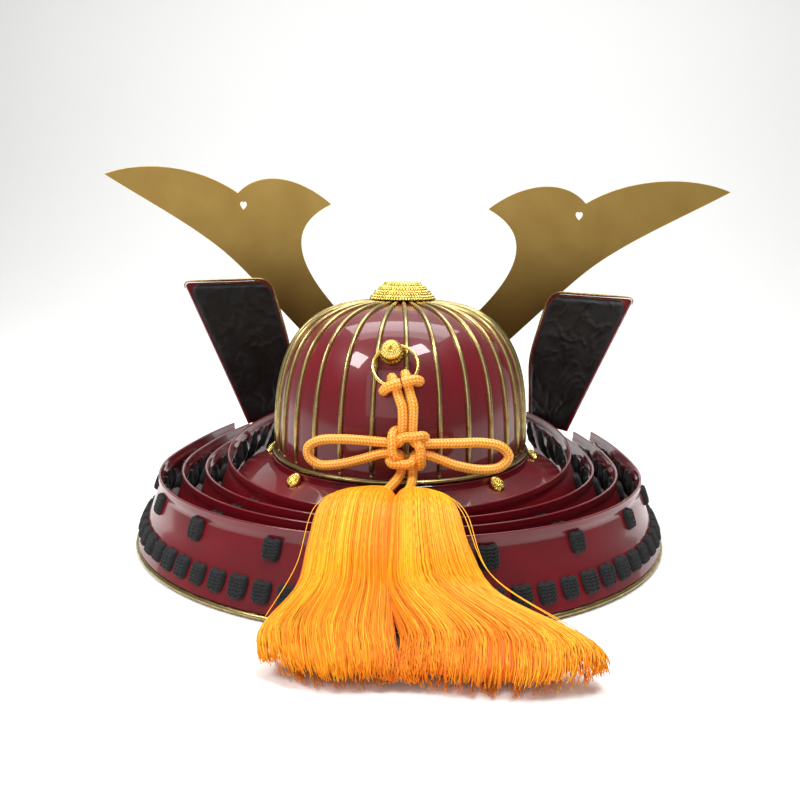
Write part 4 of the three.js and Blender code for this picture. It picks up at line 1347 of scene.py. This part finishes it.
@dataclass
class Crest:
    """Two flat brass horns and the lacquered holder that carries them over the brow."""

    plane: float = -152.0
    thick: float = 1.4
    heart: float = 3.4
    root_inner: tuple[float, float] = (67.0, 178.5)
    root_outer: tuple[float, float] = (108.0, 156.0)
    slant: float = -0.707
    tab: float = 12.0
    holder_thick: float = 7.0
    lean: float = -0.0227
    pivot: float = 250.0
    shift: float = 5.0
    horn_bevel: float = 0.6
    holder_bevel: float = 0.8
    sharp: float = 8.0
    flat: float = 0.9
    boss_half: tuple[float, float] = (9.5, 10.0)
    boss_level: float = 88.0
    boss_depths: tuple[float, float] = (3.0, 17.2)

    def horn_outline(self) -> list[tuple[float, float]]:
        """Outline of the horn on the +X side, in x and z."""
        down = self.slant * self.tab
        ox, oz = self.root_outer
        ix, iz = self.root_inner
        line = [(ox + down, oz + down), (ox, oz)]
        line += bezier(line[-1], (165, 212), (180, 232), (217, 256))
        line += bezier(line[-1], (250, 278), (295, 300), (327, 319))
        line += bezier(line[-1], (290, 334), (228, 333), (182, 303.6))
        line += bezier(line[-1], (160, 328), (118, 324), (82, 294.7))
        line += bezier(line[-1], (127, 272), (125, 236), (ix, iz))
        return line + [(ix + down, iz + down)]

    def heart_hole(self) -> list[tuple[float, float]]:
        """Outline of the small heart near the horn's notch."""
        x, z, r = 176.0, 291.0, self.heart
        half = bezier((0, -1.3 * r), (0.7 * r, -0.6 * r), (1.5 * r, 0.3 * r), (0.7 * r, 0.95 * r), count=10)
        half += bezier((0.7 * r, 0.95 * r), (0.45 * r, 1.15 * r), (0.1 * r, 1.1 * r), (0, 0.55 * r), count=8)
        right = [(0, -1.3 * r), *half]
        return [(x + a, z + b) for a, b in right] + [(x - a, z + b) for a, b in right[-2:0:-1]]

    def holder_outline(self) -> list[tuple[float, float]]:
        """Outline of the forked holder, from its middle round the +X arm."""
        half = [(22.0, 70.0), *bezier((22, 70), (30, 86), (60, 104), count=12), (114, 150.5), (61, 180.5),
                (28, 146), *bezier((28, 146), (12, 132), (0, 130), count=12)]
        return half + [(-x, z) for x, z in half[-2::-1]]

    def plate(self, name: str, outlines: Sequence[Sequence[tuple[float, float]]], thick: float, bevel: float,
              finish: Finish, mirror: float = 1.0) -> bpy.types.Object:
        """A flat plate with softened edges, upright in the crest's plane.

        Args:
            name: the piece's name.
            outlines: its outline and its holes, in x and z.
            thick: its thickness.
            bevel: how much its edges are softened.
            finish: its finish.
            mirror: -1 for the other side.

        Returns:
            The piece.
        """
        curve = bpy.data.curves.new(name + "_outline", "CURVE")
        curve.dimensions, curve.fill_mode = "2D", "BOTH"
        curve.extrude, curve.bevel_depth, curve.bevel_resolution = (thick / 2 - bevel) * MM, bevel * MM, 1
        curve.offset = -bevel * MM
        for outline in outlines:
            spline = curve.splines.new("POLY")
            spline.points.add(len(outline) - 1)
            for point, (x, z) in zip(spline.points, outline):
                point.co = (mirror * x * MM, z * MM, 0, 1)
            spline.use_cyclic_u = True
        drawn = placed(name + "_outline", curve)
        mesh = bpy.data.meshes.new_from_object(drawn.evaluated_get(bpy.context.evaluated_depsgraph_get()))
        bpy.data.objects.remove(drawn)
        stand, pivot = Vector((0, self.plane + MIDDLE_Y, 0)) * MM, Vector((0, 0, self.pivot)) * MM
        mesh.transform(Matrix.Translation(stand) @ Matrix.Rotation(math.pi / 2, 4, "X"))
        aside = Matrix.Translation(pivot + Vector((self.shift * MM, 0, 0)))
        mesh.transform(aside @ Matrix.Rotation(self.lean, 4, "Y") @ Matrix.Translation(-pivot))
        face_out(mesh, 1e-6)
        mesh.materials.clear()
        return link(name, mesh, finish, self.sharp)

    def boss(self) -> Mesh:
        """The rounded block behind the holder, by which it sits over the peak."""
        def swell(value: float, half: float) -> float:
            """A circle's ordinate drawn out towards a square's."""
            return half * math.copysign(abs(value) ** 0.5, value)

        return Mesh().loft(np.array([[[swell(math.cos(a), self.boss_half[0]), self.plane + depth,
                                       self.boss_level + swell(math.sin(a), self.boss_half[1])]
                                      for a in circle(96)] for depth in self.boss_depths]))

    def build(self) -> None:
        """Makes and seats the horns and their holder."""
        outlines = [self.horn_outline(), self.heart_hole()]
        for side in Side:
            horn = self.plate(f"brass_horn_{side.label}", outlines, self.thick, self.horn_bevel, SATIN_BRASS,
                              side.sign)
            # The edge faces take the near-white edge finish: a painted highlight line.
            horn.data.materials.append(BRASS_EDGE_PAINTED_HIGHLIGHT.material())
            for face in horn.data.polygons:
                face.material_index = int(abs(face.normal.y) < self.flat)
            seat(horn, SATIN_BRASS, f"horn_{side.label}")
        holder = self.plate("lacquered_holder", [self.holder_outline()], self.holder_thick,
                            self.holder_bevel, RED_LACQUER)
        whole = joined("lacquered_holder_whole", holder, self.boss().piece("boss", RED_LACQUER))
        whole.data.shade_smooth()
        whole.data.set_sharp_from_angle(angle=math.radians(self.sharp + 1))
        seat(whole, RED_LACQUER, "horn_holder")


# ---- knob, ring, knotted cord and tassels --------------------------------------------------------
@dataclass
class Knob:
    """Gilt flower knob at the back of the bowl and the wire ring that hangs on its stem."""

    bowl: Bowl
    level: float = 169.0
    base: float = 9.2
    head: float = 8.3
    stem: float = 3.0
    ring_radius: float = 17.0
    wire: float = 1.35
    hang: tuple[float, float, float] = (-0.3, 0.53, -0.79)
    ring_out: float = 5.2
    head_out: float = 8.3
    petals: int = 9
    fit: float = 0.3

    def frame(self) -> tuple[Array, Array]:
        """Foot of the knob on the bowl, and the way out of the bowl there."""
        share = (self.level - self.bowl.base) / self.bowl.height
        foot = self.bowl.point(0, share)
        return foot, unit(self.bowl.point(0, share, 1) - foot)

    @property
    def down(self) -> Array:
        """Way that the ring hangs."""
        return unit(np.array(self.hang))

    def ring_foot(self) -> Array:
        """Lowest point of the ring's wire."""
        foot, normal = self.frame()
        drop = 2 * self.ring_radius - self.stem - self.wire - self.fit
        return foot + normal * self.ring_out + self.down * drop

    def near(self) -> Array:
        """Way out of the ring's plane, away from the bowl."""
        _, normal = self.frame()
        return unit(normal - self.down * np.dot(normal, self.down))

    def flower(self) -> Mesh:
        """The knob: a rosette on the bowl, its stem, and a round flower head."""
        foot, normal = self.frame()
        mesh = Mesh()

        def rosette(share: float, angle: Array) -> Array:
            """Relief of the rosette: deep petals that turn up at their tips."""
            petal = np.abs(np.cos(angle * self.petals)) ** 0.8
            return 0.5 + 2.0 * share ** 1.5 * petal + 0.3 * petal

        points, faces = relief_disc(
            self.base, rosette, lambda a: 0.84 + 0.18 * np.abs(np.cos(a * self.petals)), 18, 144)
        mesh.add(turned(points, foot + normal * 0.9, normal, UP), faces)
        stem = [[self.stem * math.cos(a), self.stem * math.sin(a), z] for z in (1.2, 8.4)
                for a in circle(20)]
        mesh.loft(turned(np.array(stem), foot, normal, UP).reshape(2, 20, 3))

        def head(share: float, angle: Array) -> Array:
            """Relief of the head: a dome with three rings of petals."""
            dome = 5.2 * math.sqrt(max(1 - (share * 0.985) ** 2, 0))
            ring = int(share * 3.2)
            petals = np.abs(np.cos(angle * (6, 9, 13, 13)[ring] + ring))
            return dome + 0.95 * (petals ** 0.8 - 0.4) * (abs(math.sin(math.pi * share * 3.2)) ** 0.5)

        points, faces = relief_disc(self.head, head, lambda a: 0.96 + 0.04 * np.abs(np.cos(a * 13)), 30, 130,
                                    -1.6)
        return mesh.add(turned(points, foot + normal * self.head_out, normal, UP), faces)

    def ring(self) -> Mesh:
        """The wire ring."""
        middle = self.ring_foot() - self.down * self.ring_radius
        right = np.cross(self.near(), self.down)
        rings = []
        for a in circle(110):
            out = right * math.cos(a) + self.down * math.sin(a)
            rings.append([middle + out * (self.ring_radius + self.wire * math.cos(b))
                          + self.near() * self.wire * math.sin(b) for b in circle(12)])
        return Mesh().loft(np.array(rings), loop=True)

    def build(self) -> None:
        """Makes and seats the knob and the ring."""
        self.flower().seat("gilt_knob", GILT, "knob", sharp=60)
        self.ring().seat("gilt_ring", GILT, "carrying_ring")


@dataclass
class Section:
    """One section of a tassel: how far back and how high, its thickness, its middle and its width."""

    back: float
    high: float
    thick: float
    middle: float
    width: float


@dataclass
class Tassel:
    """A tassel of loose silk threads that lies over the neck guard and spreads on the floor."""

    number: int
    sections: tuple[Section, ...]
    threads: int = 1050
    thread_radius: float = 0.31
    samples: int = 25
    floor: float = 0.6
    top_share: float = 0.84
    packed: float = 0.3
    wrap_turns: int = 7
    wrap_start: float = 0.012
    wrap_length: float = 0.05

    def along(self, t: float) -> tuple[Array, Array, Array, float, float]:
        """Frame at a share of the fall.

        Args:
            t: 0 at the neck to 1 at the ends.

        Returns:
            Middle, direction across, direction up from the fall, half width and half thickness.
        """
        rows = np.array([[s.back, s.high, s.thick, s.middle, s.width] for s in self.sections])
        marks = np.linspace(0, 1, len(rows))
        at = [smooth_step(marks, rows[:, k], t) for k in range(5)]
        ahead = [smooth_step(marks, rows[:, k], t + 0.01) - smooth_step(marks, rows[:, k], t - 0.01)
                 for k in (0, 1)]
        fall = unit(np.array([0.0, *ahead]))
        lift = np.array([0.0, -fall[2], fall[1]])
        return np.array([at[3], at[0], at[1]]), np.array([1.0, 0, 0]), lift, at[4] / 2, at[2] / 2

    def on(self, t: float, swing: float, share: float) -> Array:
        """Point at a share of the fall, an angle round the section and a share of its radius."""
        middle, across, lift, half, thick = self.along(t)
        point = middle + across * half * share * math.cos(swing) + lift * thick * share * math.sin(swing)
        point[2] = max(point[2], self.floor)
        return point

    def core(self) -> Mesh:
        """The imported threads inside, a little smaller than the tassel."""
        angles = circle(56)
        marks = np.linspace(0.0, 1.0, 48)
        rings = [[self.on(t * (self.reach(a) - 0.05), a, 0.9 - 0.3 * max(t - 0.7, 0)) for a in angles]
                 for t in marks]
        # A low tone that darkens down the fall: painted shade in the gaps between the threads.
        tint = [[0.3 - 0.2 * t] * len(angles) for t in marks]
        return Mesh().loft(np.array(rings), tint=np.array(tint))

    @property
    def outer(self) -> float:
        """The sign of the side that faces away from the other tassel."""
        return 1.0 if self.number == 2 else -1.0

    def reach(self, swing: float) -> float:
        """How far down the threads reach at an angle: less on both sides."""
        side = math.cos(swing) * self.outer
        return 0.96 - 0.13 * max(side, 0) ** 2 - 0.04 * max(-side, 0) ** 2

    def lines(self) -> tuple[list[Array], list[Array]]:
        """Paths of the threads, and their values of tone and painted light."""
        rng = np.random.default_rng(SEED + self.number)
        lines, tints = [], []
        for _ in range(self.threads):
            top = rng.random() < self.top_share
            swing = rng.uniform(-0.25, math.pi + 0.25) if top else rng.uniform(math.pi, 2 * math.pi)
            side = math.cos(swing) * self.outer
            share = 1.0 - 0.1 * rng.random() ** 1.5
            end = self.reach(swing) + rng.uniform(-0.05, 0.05)
            clump = 0.045 * math.sin(7 * swing + self.number * 2) + 0.035 * math.sin(16 * swing)
            phase, rate, sway = rng.uniform(0, 6.28), rng.uniform(5, 11), rng.normal(0, 0.045)
            # Each thread's own tone, made darker on the side that faces the other tassel: painted shade
            # between the two tassels.
            tone_and_shade = float(np.clip(rng.normal(0.7, 0.15), 0.1, 1.0)) - 0.22 * max(-side, 0) ** 3
            row, tone_and_shade_row = [], []
            for t in np.linspace(0.0, end, self.samples):
                loose = max(t - self.packed, 0) / (1 - self.packed)
                ripple = 0.014 * math.sin(rate * t + phase) * (0.4 + loose)
                angle = swing + clump * loose ** 1.5 + sway * loose ** 2 + ripple
                frayed = 0.5 * max(t - 0.9, 0) * rng.uniform(-1, 1)
                puff = share + 0.06 * loose ** 2 * math.sin(rate * 1.7 * t + phase) + frayed
                row.append(self.on(t, angle, puff))
                tone_and_shade_row.append(tone_and_shade - 0.2 * loose ** 2.5 + 0.05 * math.sin(9 * t + swing * 3))
            lines.append(np.array(row))
            tints.append(np.clip(tone_and_shade_row, 0.02, 1.0))
        return lines, tints

    def wrap(self) -> list[Array]:
        """The thread wound round the neck."""
        turns = np.linspace(0, TURN * self.wrap_turns, 220)
        return [np.array([self.on(self.wrap_start + self.wrap_length * a / turns[-1], a, 1.06)
                          for a in turns])]

    def build(self, stray: Sequence[Array]) -> bpy.types.Object:
        """Makes and seats the tassel.

        Args:
            stray: paths of long single threads that lie across it.

        Returns:
            The tassel's piece.
        """
        lines, tints = self.lines()
        threads = strands(f"threads_{self.number}", lines, tints, self.thread_radius, 3, SILK_THREADS)
        extra = self.wrap() + list(stray)
        loose = strands(f"stray_{self.number}", extra, [0.8] * len(extra), 0.3, 5, SILK_THREADS)
        core = self.core().piece(f"core_{self.number}", SILK_THREADS, 180)
        whole = joined(f"silk_tassel_{self.number}", core, threads, loose)
        whole.data.shade_smooth()
        return seat(whole, SILK_THREADS, f"tassel_{self.number}")


def smooth_step(marks: Array, values: Array, t: float) -> float:
    """Smooth value between marks, carried straight on past both ends."""
    if t <= marks[0]:
        return float(values[0] + (t - marks[0]) * (values[1] - values[0]) / (marks[1] - marks[0]))
    if t >= marks[-1]:
        return float(values[-1] + (t - marks[-1]) * (values[-1] - values[-2]) / (marks[-1] - marks[-2]))
    i = int(np.searchsorted(marks, t) - 1)
    slopes = np.gradient(values, marks)
    h = marks[i + 1] - marks[i]
    s = (t - marks[i]) / h
    return float((1 + 2 * s) * (1 - s) ** 2 * values[i] + s * (1 - s) ** 2 * h * slopes[i]
                 + s ** 2 * (3 - 2 * s) * values[i + 1] + s ** 2 * (s - 1) * h * slopes[i + 1])


@dataclass
class KnottedCord:
    """One silk cord: hitched on the ring, tied in a square knot with two ears, ending in two tassels."""

    knob: Knob
    radius: float = 3.7
    x: float = -14.5
    y: float = 147.5
    z: float = 103.5
    reach: float = 10.2
    corner: float = 12.9
    layer: float = 7.0
    pair: float = 3.9
    plait_mm: float = 2.3
    columns: int = 8
    step: float = 0.56
    path_step: float = 2.5
    ends_inside: tuple[float, ...] = (0.03, 0.1, 0.17, 0.24, 0.31, 0.38, 0.45)
    ear_left: tuple = ((-18, 0, -4), (-34, 0, -9), (-52, -1, -13.6), (-66, -3, -14.4), (-73.5, -4, -9),
                       (-74, -4, -2), (-66, -3, 3.6), (-50, -1, 5.6), (-34, 0, 5.4), (-18, 0, 4.4))
    ear_right: tuple = ((18, 0, 4.2), (36, 0, 5), (56, -1, 5.6), (69, -3, 2.4), (74.5, -4, -5),
                        (69, -3, -12.4), (56, -1, -14.6), (36, 0, -11.6), (18, 0, -5.2))

    def place(self, point: Sequence[float]) -> Array:
        """Point near the knot, from right and up as seen from behind the helmet, and near."""
        right, near, up = point
        return np.array([self.x - right, self.y + near, self.z + up])

    def knot_pass(self, quarter_turns: int) -> list[tuple[float, float, float]]:
        """One strand through the knot: in beside its twin, over one side, behind the next, and out."""
        h, c, a, p = self.reach, self.corner, self.layer, self.pair
        strand = [
            (p, 0, h), (0.5 * h, 0.42 * a, 0.6 * h), (0.84 * h, 0.97 * a, 0.42 * h), (h, a, 0),
            (h, a, -0.45 * h), (1.04 * h, 0.62 * a, -1.02 * h), (0.86 * h, -0.12 * a, -c),
            (0.5 * h, -0.86 * a, -1.12 * h), (0, -a, -h), (-0.42 * h, -0.97 * a, -0.84 * h),
            (-0.6 * h, -0.42 * a, -0.5 * h), (-h, 0, -p)]
        turn = quarter_turns * math.pi / 2
        cos, sin = round(math.cos(turn)), round(math.sin(turn))
        return [(x * cos - z * sin, near, x * sin + z * cos) for x, near, z in strand]

    def hitch(self, side: int) -> list[Array]:
        """From the bar at the front of the hitch, round the ring's foot and down to the knot."""
        local = [(0.45, 10.6, -3), (6, 10.4, -2.8), (10.6, 8.2, -2.4), (13.6, 3.4, -1.8),
                 (13.4, -2.2, 0.4), (10.8, -5.4, 3), (8, -5.4, 4.6), (6, -3.2, 7.2), (5.2, 1.2, 7.6),
                 (5, 4.8, 4.4), (4.5, 4.6, -3), (4.2, 3.2, -12), (4.1, 2.2, -19)]
        foot, near, down = self.knob.ring_foot(), self.knob.near(), self.knob.down
        right = np.cross(near, down)
        return [foot + right * x * side + near * y - down * z for x, y, z in local]

    def routes(self) -> list[list[Array]]:
        """Points of each half of the cord, from the ring down to its tassel."""
        first = [*self.knot_pass(0), *self.ear_left, *self.knot_pass(1), (4.4, 1.5, -19), (4.2, 9, -24),
                 (2.8, 19.5, -27.5)]
        second = [(-14, 19.5, -27.5), (-8.6, 9, -24), (-4.6, 1.5, -19), *self.knot_pass(2), *self.ear_right,
                  *self.knot_pass(3)]
        return [[*self.hitch(1), *map(self.place, first)], [*self.hitch(-1), *map(self.place, second[::-1])]]

    def braid(self, line: Array) -> Mesh:
        """Round braid along a line: columns of slanting stitches that mirror each other."""
        sides = self.columns * 4
        across, other = frames_along(line)
        run = run_along(line)
        angle = circle(sides)
        column = angle / (2 * np.pi) * self.columns
        local = column % 1 - 0.5
        slant = np.where(np.floor(column) % 2 == 0, 1.0, -1.0) * local
        phase = run[:, None] / self.plait_mm + 0.85 * slant[None, :]
        stitch = np.abs(np.sin(np.pi * phase)) ** 0.7
        crown = np.cos(np.pi * local * 0.86)[None, :] ** 0.5
        lift = stitch * crown
        radius = self.radius * (0.9 + 0.11 * lift)
        radius[:2] *= 0.98
        rings = line[:, None] + radius[..., None] * (across[:, None] * np.cos(angle)[None, :, None]
                                                     + other[:, None] * np.sin(angle)[None, :, None])
        # The stitches' lift becomes the stored value: painted highlight on their crowns, painted shade in
        # the grooves between them.
        return Mesh().loft(rings, tint=np.clip(lift * 1.05, 0, 1))

    def build(self, tassels: Sequence[Tassel], pieces: Sequence[bpy.types.Object]) -> None:
        """Makes and seats both halves of the cord; each runs on inside its tassel's neck.

        Args:
            tassels: the tassels' shapes.
            pieces: the tassels' pieces; not used.
        """
        for number, (route, tassel, silk) in enumerate(zip(self.routes(), tassels, pieces), 1):
            inside = [tassel.along(t)[0] for t in self.ends_inside]
            line = even_line(smooth_line([*route, *inside], 12), self.step)
            cord = self.braid(line).seat(f"braided_cord_{number}", SILK_BRAID, f"knot_cord_{number}",
                                         sharp=180)
            path = to_metres(even_line(line, self.path_step))


@dataclass
class TasselledCord:
    """The knob, its ring, the knotted cord and both tassels."""

    bowl: Bowl
    backs: tuple[float, ...] = (170, 180, 213, 240, 258, 281, 300, 315)
    highs: tuple[float, ...] = (75, 75, 77, 60, 38, 21, 12, 5)
    thicks: tuple[float, ...] = (11, 16, 20.5, 24.5, 25, 22, 17, 9)
    first: tuple = ((-18, 13), (-25.5, 34), (-29.7, 45.6), (-34, 54), (-43.2, 72.6), (-76, 112), (-80, 117),
                    (-78, 107))
    second: tuple = ((2, 13), (10.5, 39), (15.2, 49.6), (16.5, 53), (17, 60), (24, 80), (20.5, 80),
                     (15.5, 70))

    def tassels(self) -> list[Tassel]:
        """Both tassels' shapes."""
        return [Tassel(k + 1, tuple(Section(b, h, t, m, w) for b, h, t, (m, w) in
                                    zip(self.backs, self.highs, self.thicks, table)))
                for k, table in enumerate((self.first, self.second))]

    def strays(self, tassel: Tassel) -> list[Array]:
        """Single threads that have come loose over a tassel's outer side."""
        outer = tassel.outer
        found = []
        for k in range(2 if tassel.number == 1 else 1):
            swing = [math.pi / 2 - outer * a for a in (0.2, 1.0 + 0.2 * k, 1.5, 1.62, 1.5 - 0.5 * k)]
            lift = [1.08, 1.12, 1.1 + 0.1 * k, 1.18, 1.06]
            marks = [0.06, 0.14, 0.3, 0.5, 0.68]
            points = [tassel.on(t, w, r) for t, w, r in zip(marks, swing, lift)]
            found.append(smooth_line(points, 14))
        return found

    def build(self) -> None:
        """Makes and seats everything that hangs at the back."""
        knob = Knob(self.bowl)
        knob.build()
        tassels = self.tassels()
        pieces = [t.build(self.strays(t)) for t in tassels]
        KnottedCord(knob).build(tassels, pieces)


# ---- stage ---------------------------------------------------------------------------------------
@dataclass
class Studio:
    """Pale floor, soft lights and the camera behind the helmet."""

    eye: tuple[float, float, float] = (-49.8, 723.5, 240.75)
    look: tuple[float, float, float] = (0.0665, -0.9841, -0.1643)
    roll: float = 0.012
    lens: float = 38.1
    aim: tuple[float, float, float] = (0.0, 0.0, 0.1)
    floor_half: float = 5.0
    floor_drop: float = 0.0006
    backdrop: float = 1.6
    bend: float = 1.0
    room: float = 0.22
    lights: tuple = (("window_left", (1.19, 0.77, 1.65), (0.56, 0.56), 25),
                     ("window_right", (-0.6, 0.52, 2.03), (0.5, 0.5), 22),
                     ("ceiling", (0.0, -0.8, 2.4), (2.6, 1.4), 36),
                     ("backdrop", (0.0, -1.2, 2.7), (3.0, 1.0), 26),
                     ("fill", (0.3, 2.6, 1.3), (2.4, 2.0), 20))

    def camera(self) -> None:
        """The camera at the helmet's back, a little above it."""
        lens = bpy.data.cameras.new("camera")
        lens.lens, lens.sensor_width, lens.clip_end = self.lens, 36.0, 50.0
        camera = placed("camera", lens)
        camera.rotation_mode = "QUATERNION"
        turn = Quaternion((0, 0, 1), self.roll)
        camera.rotation_quaternion = Vector(self.look).to_track_quat("-Z", "Y") @ turn
        camera.location = Vector(self.eye) * MM
        bpy.context.scene.camera = camera

    def floor(self) -> None:
        """A pale floor that curves up into a backdrop in front of the helmet."""
        h, back, r = self.floor_half, self.backdrop, self.bend
        curve = [(-back - r * math.sin(a), r - r * math.cos(a)) for a in np.linspace(0, math.pi / 2, 16)]
        line = [(h, 0.0), *curve, (-back - r, h)]
        points = [(x, y, z - self.floor_drop) for y, z in line for x in (-h, h)]
        faces = [(2 * i, 2 * i + 1, 2 * i + 3, 2 * i + 2) for i in range(len(line) - 1)]
        mesh = bpy.data.meshes.new("floor")
        mesh.from_pydata(points, [], faces)
        mesh.shade_smooth()
        material, _, shader = new_material("pale_paper")
        shader.inputs["Base Color"].default_value = linear("#f6f6f5")
        shader.inputs["Roughness"].default_value = 0.9
        shader.inputs["Specular IOR Level"].default_value = 0.1
        mesh.materials.append(material)
        placed("floor", mesh)

    def light(self, name: str, at: Array, size: tuple[float, float], power: float) -> None:
        """A soft rectangular light that faces the helmet."""
        data = bpy.data.lights.new(name, "AREA")
        data.shape, data.size, data.size_y, data.energy = "RECTANGLE", *size, power
        lamp = placed(name, data)
        lamp.location = at
        lamp.rotation_mode = "QUATERNION"
        lamp.rotation_quaternion = (Vector(self.aim) - Vector(at)).to_track_quat("-Z", "Y")

    def build(self) -> None:
        """Sets up the stage."""
        bpy.context.scene.view_settings.view_transform = "Standard"
        self.camera()
        self.floor()
        for light in self.lights:
            self.light(*light)
        world = bpy.data.worlds.new("soft_room")
        world.use_nodes = True
        glow = world.node_tree.nodes["Background"].inputs
        glow["Color"].default_value, glow["Strength"].default_value = linear("#ffffff"), self.room
        bpy.context.scene.world = world


def main() -> None:
    """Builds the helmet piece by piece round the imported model."""
    logging.basicConfig(level=logging.INFO, format="%(name)s %(message)s")
    Studio().build()
    bowl = Bowl()
    TasselledCord(bowl).build()
    bowl.build()
    TopOrnament(bowl).build()
    Skirt(bowl).build()
    NeckGuard().build()
    for side in Side:
        Flap(side).build()
    Crest().build()


if __name__ == "__main__":
    main()
